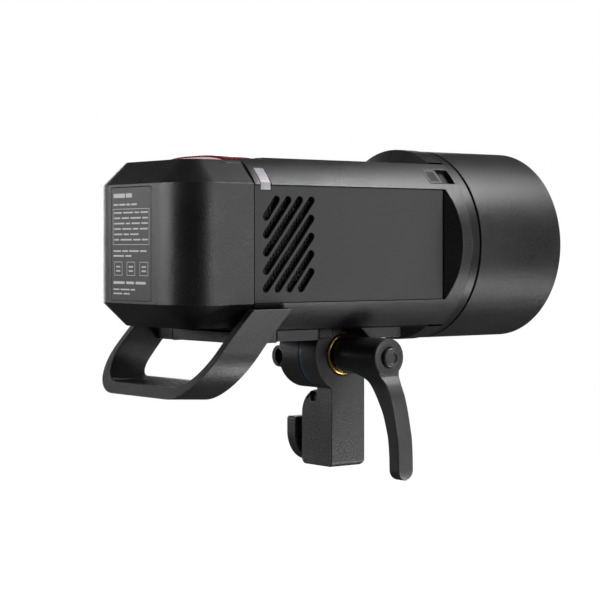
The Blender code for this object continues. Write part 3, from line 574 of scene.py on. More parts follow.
cut(whole, box((45, 52), (-150.0, -56.0), (-36.0, 36.0)))


def strip_outline(out, back, grow, n=10):
    t0, t1 = math.degrees(math.asin(37.63 / R_BODY)), math.degrees(math.asin((47.0 + grow) / R_BODY))
    outer = [(HX + out, 33.3 - grow)] + arc(0, 0, R_BODY + out, t0, t1, n)
    return outer + arc(0, 0, R_BODY - back, t1, t0 + 0.4, n) + [(HX - back, 33.3 - grow)]


for s in (-1, 1):
    cut(whole, extruded('XZ', [(s * x, z) for x, z in strip_outline(2.0, 1.9, 0.25)], (-12.65, -4.55)))
    piece(extruded('XZ', [(s * x, z) for x, z in strip_outline(-0.05, 1.5, 0.0)], (-12.4, -4.8)),
          "look_light_strip_left" if s < 0 else "look_light_strip_right", "head",
          ["light_strip_left" if s < 0 else "light_strip_right"], PALE, 0.25, 2, 40)

SL_ANGLE = 135.7


def at_slider(bm):
    bmesh.ops.rotate(bm, verts=bm.verts, cent=(0, 0, 0), matrix=Matrix.Rotation(math.radians(90 - SL_ANGLE), 3, 'Y'))
    return bm


cut(whole, at_slider(box((-6.6, 6.6), (-168.0, -145.8), (61.1, 72.0))))
halves = []
for name, s in (("housing_left", -1), ("housing_right", 1)):
    half = bpy.data.objects.new("half", whole.data.copy())
    work.objects.link(half)
    a, b = sorted((s * 0.12, s * -90))
    cut(half, box((a, b), (-200, 20), (-90, 90)))
    piece(half, "look_" + name, "head", [name], CHARCOAL, 0.42, 2, 30)
me = whole.data
bpy.data.objects.remove(whole, do_unlink=True)
bpy.data.meshes.remove(me)

slider = solid(at_slider(box((-6.3, 6.3), (-157.3, -146.1), (61.45, 64.7))))
for k in range(4):
    y = -148.6 - 1.9 * k
    cut(slider, at_slider(box((-4.6, 4.6), (y - 0.45, y + 0.45), (64.3, 66))))
piece(slider, "look_release_slider", "slider", ["release_slider"], LEVER_M, 0.3, 2)
well = solid(at_slider(box((-6.45, 6.45), (-167.8, -146.0), (61.15, 61.35))))
for k in range(7):
    y = -158.6 - 1.25 * k
    join(well, at_slider(box((-5.8, 5.8), (y - 0.35, y + 0.35), (61.3, 61.42))))
piece(well, "look_slider_floor", "head", [], BLACK_AND_GROOVE_SHADE, 0.0)

# =============================================================================
# Side panels
# =============================================================================
SLOTS = [((-18.3, 29.3), (-7.4, 14.8)), ((-27.4, 29.2), (-7.4, 3.7)), ((-36.6, 29.3), (-7.4, -7.3)),
         ((-45.8, 29.2), (-7.4, -18.5)), ((-45.6, 17.9), (-7.2, -29.5)), ((-45.6, 6.6), (-16.3, -29.5)),
         ((-45.6, -4.3), (-25.4, -29.6)), ((-45.6, -15.4), (-34.6, -29.6))]
SLOT_W = 4.9


def slot_outline(p, q, w, n=8):
    d = Vector(q) - Vector(p)
    ang = math.degrees(math.atan2(d.y, d.x))
    u = d.normalized() * (w / 2)
    a, b = Vector(p) + u, Vector(q) - u
    return arc(b.x, b.y, w / 2, ang - 90, ang + 90, n) + arc(a.x, a.y, w / 2, ang + 90, ang + 270, n)


LCD_Y, LCD_Z = (-118.0, -58.0), (-3.0, 33.0)
BUTTONS = {"menu_button": (-64.0, -12.5, 4.6), "mode_button": (-80.0, -12.5, 4.6), "test_button": (-96.0, -12.5, 4.6),
           "power_button": (-138.0, -24.0, 5.5)}
DIAL = (-138.0, 4.0)
FLAP_Y, FLAP_Z, FLAP_X = (-112.0, -60.0), (-33.6, -20.6), (51.35, 52.85)
for s, name in ((-1, "side_panel_left"), (1, "side_panel_right")):
    plan = [(s * 50.5, -0.15), (s * HX, -0.15), (s * HX, Y_PANEL + 2.3)]
    plan += [(s * (HX - 2.3 + 2.3 * math.cos(math.radians(a))), Y_PANEL + 2.3 - 2.3 * math.sin(math.radians(a))) for a in range(15, 91, 15)]
    plan += [(s * 50.5, Y_PANEL)]
    ob = solid(extruded('XY', plan, (-PANEL_Z, PANEL_Z)))
    for p, q in SLOTS:
        cut(ob, extruded('YZ', slot_outline(p, q, SLOT_W), (-60, -40) if s < 0 else (40, 60)))
    cut(ob, extruded('XZ', [(s * x, z) for x, z in strip_outline(2.0, 1.9, 0.25)], (-12.65, -4.55)))
    if s > 0:
        cut(ob, box((45, 60), LCD_Y, LCD_Z))
        for y, z, r in BUTTONS.values():
            cut(ob, rod('X', (y, z), r + 0.3, (45, 60), seg=40))
        cut(ob, rod('X', DIAL, 4.2, (45, 60), seg=40))
        cut(ob, box((51.1, 60), (FLAP_Y[0] - 0.4, FLAP_Y[1] + 0.4), (FLAP_Z[0] - 1.25, FLAP_Z[1] + 0.4)))
        for y, r in ((-72.0, 2.9), (-84.0, 2.2)):
            cut(ob, rod('X', (y, -27.5), r, (45, 60), seg=32))
        cut(ob, box((45, 60), (-105.0, -95.8), (-29.2, -26.0)))
    piece(ob, "look_" + name, "head", [name], PANEL, 0.25, 2, 40)


# woven guard behind the slots: crossed wires in one sheet
for s in (-1, 1):
    bm = bmesh.new()
    x0, w, t = s * 49.35, 0.42, 0.36
    tmp = bpy.data.meshes.new("wires")
    for i in range(22):
        y = -48.0 + 2.02 * i
        b2 = box((x0 - t, x0 + t * 0.2), (y - w, y + w), (-31.4, 31.4))
        b2.to_mesh(tmp)
        b2.free()
        bm.from_mesh(tmp)
    for i in range(31):
        z = -30.6 + 2.04 * i
        b2 = box((x0 - t * 0.2, x0 + t), (-48.4, -5.6), (z - w, z + w))
        b2.to_mesh(tmp)
        b2.free()
        bm.from_mesh(tmp)
    bpy.data.meshes.remove(tmp)
    nm = "vent_mesh_left" if s < 0 else "vent_mesh_right"
    piece(solid(bm), "look_" + nm, "head", [nm], MESHM, 0.0, clean=False)

# control side
lcd = solid(box((48.3, 52.2), (LCD_Y[0] + GAP, LCD_Y[1] - GAP), (LCD_Z[0] + GAP, LCD_Z[1] - GAP)))
piece(lcd, "look_lcd_screen", "head", ["lcd_screen"], LCD, 0.5, 3)
bars = bmesh.new()
tmp = bpy.data.meshes.new("bars")


def mark(x, y, z, group=bars):
    b2 = box(x, y, z)
    b2.to_mesh(tmp)
    b2.free()
    group.from_mesh(tmp)


for k in range(8):
    mark((52.15, 52.28), (-113.0 + 3.2 * k, -111.0 + 3.2 * k), (1.5, 3.5 + 1.6 * k))
mark((52.15, 52.28), (-82.0, -64.0), (26.0, 27.2))
mark((52.15, 52.28), (-82.0, -70.0), (21.5, 22.7))
mark((52.15, 52.28), (-82.0, -66.0), (17.0, 18.2))
mark((52.15, 52.28), (-114.5, -61.5), (29.4, 29.7))
piece(solid(bars), "look_display_marks", "head", [], INK_WHITE, 0.0, clean=False)
for name, (y, z, r) in BUTTONS.items():
    b = solid(lathe('X', (y, z), soften([(0, 48.5), (r + 1.1, 48.5), (r + 1.1, 49.5), (r - 0.05, 49.5), (r - 0.05, 53.75), (r - 1.6, 53.75), (r - 2.0, 53.35), (0, 53.3)], 0.45), 48))
    piece(b, "look_" + name, name, [name], BLACK, 0.0)
prof = soften([(0, 48.3), (3.85, 48.3), (3.85, 53.5), (12.9, 53.5), (13.4, 54.2), (13.4, 60.2), (12.4, 61.1), (7.4, 61.1), (6.5, 60.4), (6.5, 56.6), (0, 56.6)], 0.5)
dial = solid(lathe('X', DIAL, prof, 144))
for v in dial.data.vertices:
    dy, dz = v.co.y - DIAL[0], v.co.z - DIAL[1]
    r = math.hypot(dy, dz)
    if r > 12.5 and 54.4 < v.co.x < 60.6:
        a = math.atan2(dz, dy)
        k = 1.0 - 0.028 * (0.5 + 0.5 * math.cos(36 * a)) ** 2
        v.co.y, v.co.z = DIAL[0] + dy * k, DIAL[1] + dz * k
piece(dial, "look_control_dial", "dial", ["control_dial"], BLACK, 0.0, clean=False)
piece(lathe('X', DIAL, soften([(0, 58.1), (5.95, 58.1), (5.95, 61.5), (4.0, 61.5), (3.2, 61.1), (0, 61.0)], 0.4), 48),
      "look_set_button", "set_button", ["set_button"], LEVER_M, 0.0)
flap = solid(box(FLAP_X, FLAP_Y, FLAP_Z))
join(flap, rod('Y', (52.1, FLAP_Z[0]), 0.74, FLAP_Y, seg=24))
cut(flap, box((52.55, 53.5), (FLAP_Y[0] + 3, FLAP_Y[1] - 3), (FLAP_Z[1] - 3.4, FLAP_Z[1] - 2.4)))
piece(flap, "look_port_cover", "port_cover", ["port_cover"], RUBBER, 0.2, 2)

# =============================================================================
# Front ring, cap, glass
# =============================================================================
piece(lathe('Y', (0, 0), soften([(51.05, -170.95), (64.4, -170.95), (64.4, Y_RING), (62.6, Y_RING), (62.6, -179.15), (51.05, -179.15)], 0.45), 192),
      "look_front_ring", "head", ["front_ring"], RING, 0.0)
cap_profile = [(0, Y_CAP1 + 0.9), (46.0, Y_CAP1 + 0.9), (47.0, Y_CAP1), (62.9, Y_CAP1), (R_CAP, Y_CAP1 + 1.6), (R_CAP, Y_CAP0), (44.4, Y_CAP0),
               (44.4, -165.0), (41.6, -165.0), (41.6, -182.2), (62.0, -182.2), (62.0, Y_CAP1 + 2.6), (0, Y_CAP1 + 2.6)]
cap = solid(lathe('Y', (0, 0), soften(cap_profile, 0.7, 4), 192))
LUGS = (90, 210, 330)
for a in LUGS:
    bm = box((-9, 9), (-168.2, -165.2), (43.0, 48.2))
    bmesh.ops.rotate(bm, verts=bm.verts, cent=(0, 0, 0), matrix=Matrix.Rotation(math.radians(90 - a), 3, 'Y'))
    join(cap, bm)
piece(cap, "look_protective_cap", "cap", ["protective_cap"], CHARCOAL, 0.0, clean=False)
bay = solid(lathe('Y', (0, 0), soften([(45.4, -164.65), (59.5, -164.65), (59.5, -169.75), (45.4, -169.75)], 0.5), 144))
for a in LUGS:
    bm = box((-13, 13), (-172, -160), (42, 49.4))
    bmesh.ops.rotate(bm, verts=bm.verts, cent=(0, 0, 0), matrix=Matrix.Rotation(math.radians(90 - a), 3, 'Y'))
    cut(bay, bm)
piece(bay, "look_bayonet_ring", "head", ["bayonet_ring"], ALU, 0.0)
piece(lathe('Y', (0, 0), soften([(26.0, -162.95), (58.0, -162.95), (58.0, -164.15), (56.0, -164.15), (54.0, -163.5), (28.0, -163.5), (26.0, -164.15)], 0.2), 120),
      "look_reflector_plate", "head", ["reflector_plate"], ALU, 0.0)
sphere = [(31.0 * math.cos(math.radians(a)), -214.0 - 19.95 * math.sin(math.radians(a))) for a in range(0, 90, 6)]
inner_s = [(29.0 * math.cos(math.radians(a)), -214.0 - 18.0 * math.sin(math.radians(a))) for a in range(84, -1, -6)]
piece(lathe('Y', (0, 0), [(0, -232.0)] + inner_s + [(29.0, -164.7), (31.0, -164.7)] + sphere + [(0, -233.95)], 96),
      "look_glass_dome", "head", ["glass_dome"], DOME, 0.0)
piece(lathe('Y', (0, 0), soften([(0, -167.45), (8.45, -167.45), (8.45, -174.0), (6.0, -177.0), (0, -177.9)], 0.6), 48),
      "look_modelling_led", "head", ["modelling_led"], INK_WHITE, 0.0)
piece(lathe('Y', (0, 0), soften([(0, -148.6), (25.3, -148.6), (25.3, -166.9), (22.0, -166.9), (21.0, -166.2), (0, -166.2)], 0.6), 72),
      "look_tube_socket", "head", ["tube_socket"], CERAMIC, 0.0)
path = [(4.6, -167.4 - 34.6 * i / 8, 15.0) for i in range(9)]
path += [(15.5 * math.sin(math.radians(a)), -205.0, 15.5 * math.cos(math.radians(a))) for a in range(24, 337, 6)]
path += [(-4.6, -167.4 - 34.6 * i / 8, 15.0) for i in range(8, -1, -1)]
cu = bpy.data.curves.new("tube", 'CURVE')
cu.dimensions = '3D'
cu.bevel_depth = 3.2
cu.bevel_resolution = 3
cu.use_fill_caps = True
sp = cu.splines.new('POLY')
sp.points.add(len(path) - 1)
for p, q in zip(sp.points, path):
    p.co = (*q, 1.0)
tob = bpy.data.objects.new("tube", cu)
work.objects.link(tob)
deps = bpy.context.evaluated_depsgraph_get()
tm = bpy.data.meshes.new_from_object(tob.evaluated_get(deps))
bpy.data.objects.remove(tob, do_unlink=True)
bpy.data.curves.remove(cu)
t_ob = bpy.data.objects.new("tube", tm)
work.objects.link(t_ob)
piece(t_ob, "look_flash_tube", "head", ["flash_tube"], TUBE, 0.0, clean=False)


# =============================================================================
# Battery
# =============================================================================
def battery_form(inset_all, y0, y1, z1, zs, n=20):
    def level(d, z):
        r = BATT_R - inset_all - d
        hx = HX - inset_all - d
        cy = Y_BATT - BATT_R
        right_ = [(hx, y0)] + [(HX - BATT_R + r * math.cos(math.radians(90 * i / n)), cy + r * math.sin(math.radians(90 * i / n))) for i in range(n + 1)]
        return [(x, y, z) for x, y in right_ + [(-x, y) for x, y in right_[::-1]]]
    top = z1 - zs
    bm = bmesh.new()
    vs = [[bm.verts.new(p) for p in row] for row in (level(top, -z1), level(0, -zs), level(0, zs), level(top, z1))]
    m = len(vs[0])
    for a_, b_ in zip(vs[:-1], vs[1:]):
        for i in range(m):
            j = (i + 1) % m
            bm.faces.new((a_[i], a_[j], b_[j], b_[i]))
    bm.faces.new(vs[0][::-1])
    bm.faces.new(vs[-1])
    bmesh.ops.recalc_face_normals(bm, faces=bm.faces)
    return bm


WALL_B = 2.4
shell = solid(battery_form(0.0, 0.15, Y_BATT, BATT_ZS + BATT_INSET, BATT_ZS))
cut(shell, battery_form(WALL_B, -2.0, Y_BATT - WALL_B, BATT_ZS + BATT_INSET - WALL_B, BATT_ZS - 1.0))
join(shell, box((-40.0, 40.0), (0.15, 13.0), (39.8, 50.2)))
cut(shell, box((-37.6, 37.6), (-1.0, 10.5), (45.2, 60)))
cut(shell, rod('Z', (0, 5), 4.4, (41.4, 47.0), seg=32))
LAB_X, LAB_Z = (-19.8, 25.3), 35.0
cut(shell, box((LAB_X[0] - 0.2, LAB_X[1] + 0.2), (Y_BATT - 0.9, 60), (-LAB_Z - 0.2, LAB_Z + 0.2)))
piece(shell, "look_battery_shell", "battery", ["battery_shell"], CHARCOAL, 0.35, 2, 30)

# label: film with unreadable grey line blocks
film = solid(box(LAB_X, (Y_BATT - 0.6, Y_BATT - 0.12), (-LAB_Z, LAB_Z)))
piece(film, "look_label_plate", "battery", ["label_plate"], LABEL, 0.12, 1)
ink = bmesh.new()
FACE = (Y_BATT - 0.14, Y_BATT - 0.07)


def word_line(z, x0, x1, h, words, group):
    """One line of unreadable text, as a row of short blocks. x grows leftwards as read from behind."""
    total = sum(words) + 0.45 * (len(words) - 1)
    x = x1
    for w_ in words:
        w_mm = (x1 - x0) * w_ / total
        b2 = box((x - w_mm, x), FACE, (z - h / 2, z + h / 2))
        b2.to_mesh(tmp)
        b2.free()
        group.from_mesh(tmp)
        x -= w_mm + (x1 - x0) * 0.45 / total


def frame_box(x0, x1, z0, z1, t, group):
    for b2 in (box((x0, x1), FACE, (z0, z0 + t)), box((x0, x1), FACE, (z1 - t, z1)),
               box((x0, x0 + t), FACE, (z0, z1)), box((x1 - t, x1), FACE, (z0, z1))):
        b2.to_mesh(tmp)
        b2.free()
        group.from_mesh(tmp)


word_line(30.0, 1.5, 22.8, 2.6, (5.0, 2.6), ink)
word_line(24.4, -4.0, 22.8, 1.1, (2.2, 2.6, 1.7, 2.4), ink)
frame_box(-18.0, 23.4, -0.5, 21.8, 0.32, ink)
rows = [(2.4, 3.1, 1.4, 2.2), (1.8, 2.2, 3.0, 1.6), (3.0, 1.2, 2.4, 1.8), (2.0, 2.8, 1.6, 2.4), (2.6, 1.6, 2.6), (1.4, 3.2, 2.0, 1.6)]
for i, words in enumerate(rows):
    word_line(19.4 - 3.35 * i, -16.4 if i not in (4,) else -6.0, 22.0, 0.95, words, ink)
word_line(-4.4, -15.0, 22.8, 1.0, (2.4, 1.8, 3.0, 2.0), ink)
word_line(-7.4, 2.0, 22.8, 1.0, (2.8, 1.6), ink)
frame_box(12.6, 22.0, -19.6, -11.0, 0.35, ink)
frame_box(-2.0, 7.4, -19.6, -11.0, 0.35, ink)
frame_box(-16.6, -7.2, -19.6, -11.0, 0.35, ink)
for x_mid in (17.3, 2.7, -11.9):
    mark((x_mid - 2.4, x_mid + 2.4), FACE, (-17.2, -16.2), ink)
    mark((x_mid - 2.4, x_mid + 2.4), FACE, (-14.6, -13.6), ink)
word_line(-24.0, -14.0, 22.8, 1.6, (3.2, 2.2, 2.8), ink)
word_line(-28.2, -2.0, 22.8, 0.9, (2.0, 3.0, 1.4), ink)
word_line(-30.8, 4.0, 22.8, 0.9, (2.6, 1.8), ink)
piece(solid(ink), "look_label_print", "battery", [], INK, 0.0, clean=False)

cover = solid(battery_form(WALL_B + 0.3, 0.5, Y_BATT, BATT_ZS + BATT_INSET - WALL_B - 0.3, BATT_ZS - 1.0))
cut(cover, box((-80, 80), (2.7, 80), (-80, 80)))
cut(cover, box((-80, 80), (-10, 20), (39.4, 80)))
cut(cover, box((-17, 17), (-10, 20), (-33, -25)))
piece(cover, "look_battery_cover", "battery", ["battery_cover"], BLACK, 0.25, 2)

# crowned latch
crown_n = 48
rows_y = [-17.5, -17.3, -16.6, -15.0, -10.0, -3.7, 3.0, 7.6, 9.1, 9.8, 10.0]
drop = [1.6, 1.0, 0.4, 0.12, 0.0, 0.0, 0.0, 0.12, 0.4, 1.0, 1.6]
bm = bmesh.new()
grid = []
for y, d in zip(rows_y, drop):
    line = []
    for i in range(crown_n + 1):
        x = 37.2 * (-1 + 2 * i / crown_n)
        z = 52.0 + 3.9 * (1 - abs(x / 38) ** 3) - d
        if i in (0, crown_n):
            z -= 0.9
        elif i in (1, crown_n - 1):
            z -= 0.25
        line.append(bm.verts.new((x, y, z)))
    grid.append(line)
low = []
for y in rows_y:
    low.append((bm.verts.new((-37.2, y, 48.05)), bm.verts.new((37.2, y, 48.05))))
for a in range(len(rows_y) - 1):
    for i in range(crown_n):
        bm.faces.new((grid[a][i], grid[a][i + 1], grid[a + 1][i + 1], grid[a + 1][i]))
    bm.faces.new((grid[a][0], grid[a + 1][0], low[a + 1][0], low[a][0]))
    bm.faces.new((grid[a][-1], grid[a + 1][-1], low[a + 1][1], low[a][1]))
    bm.faces.new((low[a][0], low[a + 1][0], low[a + 1][1], low[a][1]))
bm.faces.new([*grid[0], low[0][1], low[0][0]])
bm.faces.new([*grid[-1], low[-1][1], low[-1][0]])
piece(solid(bm), "look_battery_latch", "latch", ["battery_latch"], RED, 0.0, clean=False, sharp=50)


# =============================================================================
# Handle
# =============================================================================
def lean(z):
    """Where the handle's rear edge runs at a height."""
    t = H_TOP - z
    return 5.13 + 1.04 * t - 9.2 * (t / 50.0) ** 2


def handle_form():
    n_leg, n_arc, n_bar = 12, 22, 20

    def path_(w, r, zb):
        half = [(w, H_TOP + (zb + r - H_TOP) * i / n_leg) for i in range(n_leg)]
        half += [(w - r * (1 - math.cos(math.radians(90 * i / n_arc))), zb + r - r * math.sin(math.radians(90 * i / n_arc))) for i in range(n_arc + 1)]
        half += [((w - r) * (1 - i / (n_bar / 2)), zb) for i in range(1, n_bar // 2)]
        return half + [(0.0, zb)] + [(-x, z) for x, z in half[::-1]]

    outer, outer_f = path_(H_W, H_R, H_Z), path_(H_W, H_R, H_Z - 1.5)
    inner_r, inner_f = path_(H_W - H_T, H_R - H_T, H_Z + 7.0), path_(H_W - H_T, 10.0, H_Z + 9.0)
    bm = bmesh.new()
    vs = []
    for o, of, ir, if_ in zip(outer, outer_f, inner_r, inner_f):
        vs.append([bm.verts.new(p) for p in ((o[0], lean(o[1]), o[1]), (ir[0], lean(ir[1]), ir[1]),
                                             (if_[0], lean(if_[1]) - 30.1, if_[1]), (of[0], lean(of[1]) - 30.1, of[1]))])
    for a_, b_ in zip(vs[:-1], vs[1:]):
        for i in range(4):
            j = (i + 1) % 4
            bm.faces.new((a_[i], a_[j], b_[j], b_[i]))
    bm.faces.new(vs[0])
    bm.faces.new(vs[-1][::-1])
    bmesh.ops.recalc_face_normals(bm, faces=bm.faces)
    return bm


handle = solid(handle_form())
def slab(x0, x1):
    """Room behind the slanting front edge of the legs."""
    front = [(lean(z) - 29.7, z) for z in (-39.5 - 23.5 * i / 11 for i in range(12))]
    return extruded('YZ', front + [(3.0, -63.0), (3.0, -39.5)], (x0, x1))


wings = solid(box((-54.0, 54.0), (-29.9, 1.5), (-61.6, -54.5)))
for s in (-1, 1):
    t0 = math.degrees(math.acos(53.5 / 65.45))
    t1 = math.degrees(math.asin(54.45 / 65.45))
    pts = [(s * x, -z) for x, z in arc(0, 0, 65.45, t0, t1, 12)]
    pts = [(s * 53.5, -40.0)] + [p for p in pts if p[1] < -40.2] + [(s * 34.0, -54.45), (s * 34.0, -61.8), (s * 56.0, -61.8), (s * 58.5, -56.0), (s * 58.5, -40.0)]
    join(wings, extruded('XZ', pts, (-29.8, 1.6)))
room = solid(slab(-70.0, 70.0))
join(room, box((-36.0, 36.0), (-32.0, 5.0), (-66.0, -50.0)))
common(wings, room)
join(handle, wings)
RIB_Y = lean(H_Z + 7.0) - 2.2
for k in range(15):
    x = -39.2 + 5.6 * k
    g = extruded('XZ', [(x - 1.6, H_Z + 12.0), (x + 1.6, H_Z + 12.0), (x + 1.2, H_Z + 5.8), (x - 1.2, H_Z + 5.8)], (RIB_Y - 25.0, RIB_Y))
    bmesh.ops.rotate(g, verts=g.verts, cent=(0, lean(H_Z + 7.0), H_Z + 7.0), matrix=Matrix.Rotation(math.radians(-3.8), 3, 'X'))
    cut(handle, g)
grip = piece(handle, "look_handle", "head", ["handle"], HANDLE_M, 0.6, 3, 35)
# groove walls below the rib tops take the near-black material: painted shade, standing in for the shade inside the
# grooves between the ribs
grip.data.materials.append(BLACK_AND_GROOVE_SHADE)
for f in grip.data.polygons:
    c = f.center * 1000 - FRAME
    top = H_Z + 7.0 + (lean(H_Z + 7.0) - c.y) * 2.0 / 30.1
    if abs(c.x) < 41.5 and RIB_Y - 25.1 < c.y < RIB_Y + 0.1 and H_Z + 5.0 < c.z < top - 0.22:
        f.material_index = 1

# =============================================================================
# Tilt mount
# =============================================================================
plan = [(36, -30.2), (-36, -30.2), (-36, -63.0), (-17.4, -79.0), (-17.4, -96.0), (-36, -96.0)]
plan += arc(-28.0, -129.0, 8.0, 180, 270, 10) + arc(28.0, -129.0, 8.0, 270, 360, 10)
boss = arc(28.0, -75.0, 7.2, -90, 90, 24) + arc(26.0, -75.0, 7.2, 90, 270, 24)
mount = solid(extruded('XY', plan, (-61.4, -54.35)))
join(mount, rod('X', TILT, 23.3, (3.1, 25.0), seg=96))
join(mount, extruded('XZ', boss, (-121.0, -79.4)))
join(mount, box((21.0, 33.0), (-114.0, -87.0), (-73.0, -57.0)))
cut(mount, rod('Y', (26.0, -75.0), 5.0, (-130.0, -70.0), seg=40))
cut(mount, rod('X', TILT, 24.7, (-17.35, 3.05), seg=96))
cut(mount, extruded('YZ', [(-90, -50), (-96.5, -50), (-97.9, -54.1), (-106.9, -61.6), (-106.9, -66), (-90, -66)], (-60, -17.2)))
cut(mount, rod('X', TILT, 5.4, (-10, 17.4), seg=48))
SCREWS = ((-27.0, -42.0), (27.0, -42.0), (-25.0, -126.0), (25.0, -126.0))
for i, (x, y) in enumerate(SCREWS):
    cut(mount, rod('Z', (x, y), 2.3, (-70, -50), seg=24))
    cut(mount, rod('Z', (x, y), 4.4, (-70, -58.0), seg=32))
    sc = solid(lathe('Z', (x, y), soften([(0, -61.0), (4.0, -61.0), (4.0, -58.3), (1.95, -58.3), (1.95, -54.4), (0, -54.4)], 0.35), 32))
    cut(sc, rod('Z', (x, y), 1.7, (-62.6, -59.6), seg=6))
    piece(sc, "look_mount_screw_%d" % (i + 1), "head", ["mount_screw_%d" % (i + 1)], STEEL, 0.0)
piece(mount, "look_tilt_mount", "head", ["tilt_mount"], CAST, 0.5, 3, 35)

# =============================================================================
# Bracket, clamp and lever
# =============================================================================
a0 = math.degrees(math.asin((STEM[0] - ty) / R_EAR))
a1 = math.degrees(math.asin((ty - STEM[1]) / R_EAR))
ear = [(STEM[0], STEM_Z)]
ear += arc(ty, tz, R_EAR, -90 + a0, 270 - a1, 72)
ear += [(STEM[1], STEM_Z + 3.5)] + arc(STEM[1] + 3.5, STEM_Z + 3.5, 3.5, 180, 270, 8)[1:]
bracket = solid(extruded('YZ', ear, (-16.0, 0.1)))
shoulder = [(-2.5, STEM_Z)] + arc(12.5, STEM_Z + 4.0, 4.0, 270, 360, 8) + arc(0, -112.95, 16.5, 0, 90, 20) + [(-2.5, -96.45)]
join(bracket, extruded('XZ', shoulder, (STEM[1], STEM[0])))
front = [(STEM[1] - 4, STEM_Z - 4), (STEM[1] + 3.5, STEM_Z - 4)] + arc(STEM[1] + 3.5, STEM_Z + 3.5, 3.5, 270, 180, 8) + [(STEM[1] - 4, STEM_Z + 3.5)]
cut(bracket, extruded('YZ', front, (-30, 30)))
near = [(-20, STEM_Z - 4), (-12.8, STEM_Z - 4)] + arc(-12.8, STEM_Z + 3.2, 3.2, 270, 180, 8) + [(-20, STEM_Z + 3.2)]
cut(bracket, extruded('XZ', near, (-140, -70)))
cut(bracket, rod('Z', (0, SOCKET[0]), SOCKET[1], (STEM_Z - 2, SOCKET[2]), seg=64))
cut(bracket, rod('X', LOCK, 4.1, (4, 25), seg=32))
cut(bracket, rod('X', TILT, 5.4, (-25, 5), seg=32))
cut(bracket, rod('X', TILT, 13.9, (-25, -14.4), seg=72))
cut(bracket, box((0.9, 6.6), (-93.2, -88.0), (-104.2, -98.4)))
piece(bracket, "look_bracket", "bracket", ["bracket_body"], BRACKET_M, 0.9, 3, 35)
piece(lathe('X', TILT, soften([(5.4, 0.4), (23.2, 0.4), (23.2, 2.8), (5.4, 2.8)], 0.3), 96), "look_blue_ring", "bracket", ["blue_ring"], BLUE, 0.0)
piece(lathe('X', TILT, soften([(5.5, -16.9), (12.9, -16.9), (13.6, -16.2), (13.6, -14.7), (5.5, -14.7)], 0.35), 72), "look_brass_washer", "bracket", ["brass_washer"], BRASS, 0.0)
screw = solid(lathe('X', TILT, soften([(0, -64.1), (3.6, -64.1), (4.1, -65.15), (5.4, -65.15), (6.35, -64.4), (6.35, -57.8), (0, -57.8)], 0.4), 48))
piece(screw, "look_lever_screw", "clamp", ["lever_screw"], LEVER_M, 0.0)

TIP = -150.5
# height below the axis: inner face, outer face, rear edge, front edge
ARM = [(-6.0, -33.0, -61.6, 9.4, -9.6), (-10.0, -33.6, -61.9, 8.7, -9.0), (-11.8, -40.0, -62.3, 8.2, -8.6), (-14.5, -46.6, -64.3, 7.2, -7.8),
       (-18.0, -50.4, -66.6, 6.3, -7.2), (-24.0, -54.6, -69.5, 5.8, -7.3), (-30.0, -58.0, -71.2, 5.4, -7.6), (-36.0, -60.9, -72.4, 5.0, -8.0),
       (-45.0, -63.6, -74.0, 4.6, -8.4), (-52.0, -65.1, -75.0, 4.3, -8.7), (-62.0, -65.8, -75.4, 4.0, -9.0), (TIP + 6.5 - tz, -66.0, -75.5, 3.9, -9.1)]
sections = curve_through(ARM[:2], 3)[:-1] + curve_through(ARM[1:], 5)
for k in range(1, 13):
    a = math.radians(90 * k / 12.5)
    d = 6.5 * math.sin(a)
    sections.append((TIP + 6.5 - tz - d, -66.0 - 0.9 * (1 - math.cos(a)), -75.5 + 0.9 * (1 - math.cos(a)), -2.6 + 6.5 * math.cos(a), -2.6 - 6.5 * math.cos(a)))
bm = bmesh.new()
rings = []
for z, xi, xo, yr_, yf in sections:
    rc = min(1.3, (yr_ - yf) * 0.3)
    loop = arc(xi - rc, yr_ - rc, rc, 0, 90, 4) + arc(xo + rc, yr_ - rc, rc, 90, 180, 4) + arc(xo + rc, yf + rc, rc, 180, 270, 4) + arc(xi - rc, yf + rc, rc, 270, 360, 4)
    rings.append([bm.verts.new((x, ty + y, tz + z)) for x, y in loop])
m = len(rings[0])
for a_, b_ in zip(rings[:-1], rings[1:]):
    for k in range(m):
        l = (k + 1) % m
        bm.faces.new((a_[k], a_[l], b_[l], b_[k]))
bm.faces.new(rings[0][::-1])
bm.faces.new(rings[-1])
lever = solid(bm)
hub = lathe('X', TILT, [(0, -62.4), (10.8, -62.4), (11.8, -62.1), (12.3, -61.5), (12.5, -60.6), (12.5, -24.0), (12.4, -22.0), (11.9, -20.0), (10.9, -18.4), (9.5, -17.5), (0, -17.5)], 96)
join(lever, hub)
cut(lever, rod('X', TILT, 5.5, (-80, -10), seg=48))
cut(lever, rod('X', TILT, 6.9, (-80, -35.0), seg=64))
piece(lever, "look_lever", "lever", ["lever"], LEVER_M, 0.0, sharp=30, clean=False)

# lock knob
ly, lz = LOCK
wing = [(ly + 15.5, -115.6), (ly - 15.5, -115.6)] + arc(ly - 15.5, -117.6, 2.0, 100, 180, 5)
wing += [(ly + 17.5 * math.cos(math.radians(a)), -126.0 + 20.0 * math.sin(math.radians(a))) for a in range(180, 361, 5)]
wing += arc(ly + 15.5, -117.6, 2.0, 0, 80, 5)
knob = solid(extruded('YZ', wing, (19.2, 28.5)))
join(knob, rod('X', LOCK, 8.0, (17.0, 20.0), seg=64))
join(knob, rod('X', LOCK, 3.7, (8.9, 18.0), seg=48))
piece(knob, "look_stand_knob", "stand_knob", ["stand_knob"], CAST, 0.9, 4, 35)

# CAD nodes that keep their shape
for n in ("capacitor_1", "capacitor_2", "capacitor_3", "capacitor_4", "cell_pack"):
    dress(n, SLEEVE)
for n in ("main_board", "battery_board"):
    dress(n, BOARD)
for n in ("rear_bulkhead", "terminal_block", "fan_frame", "fan_rotor"):
    dress(n, BLACK)
dress("heat_sink", ALU)
dress("clamp_stud", STEEL)


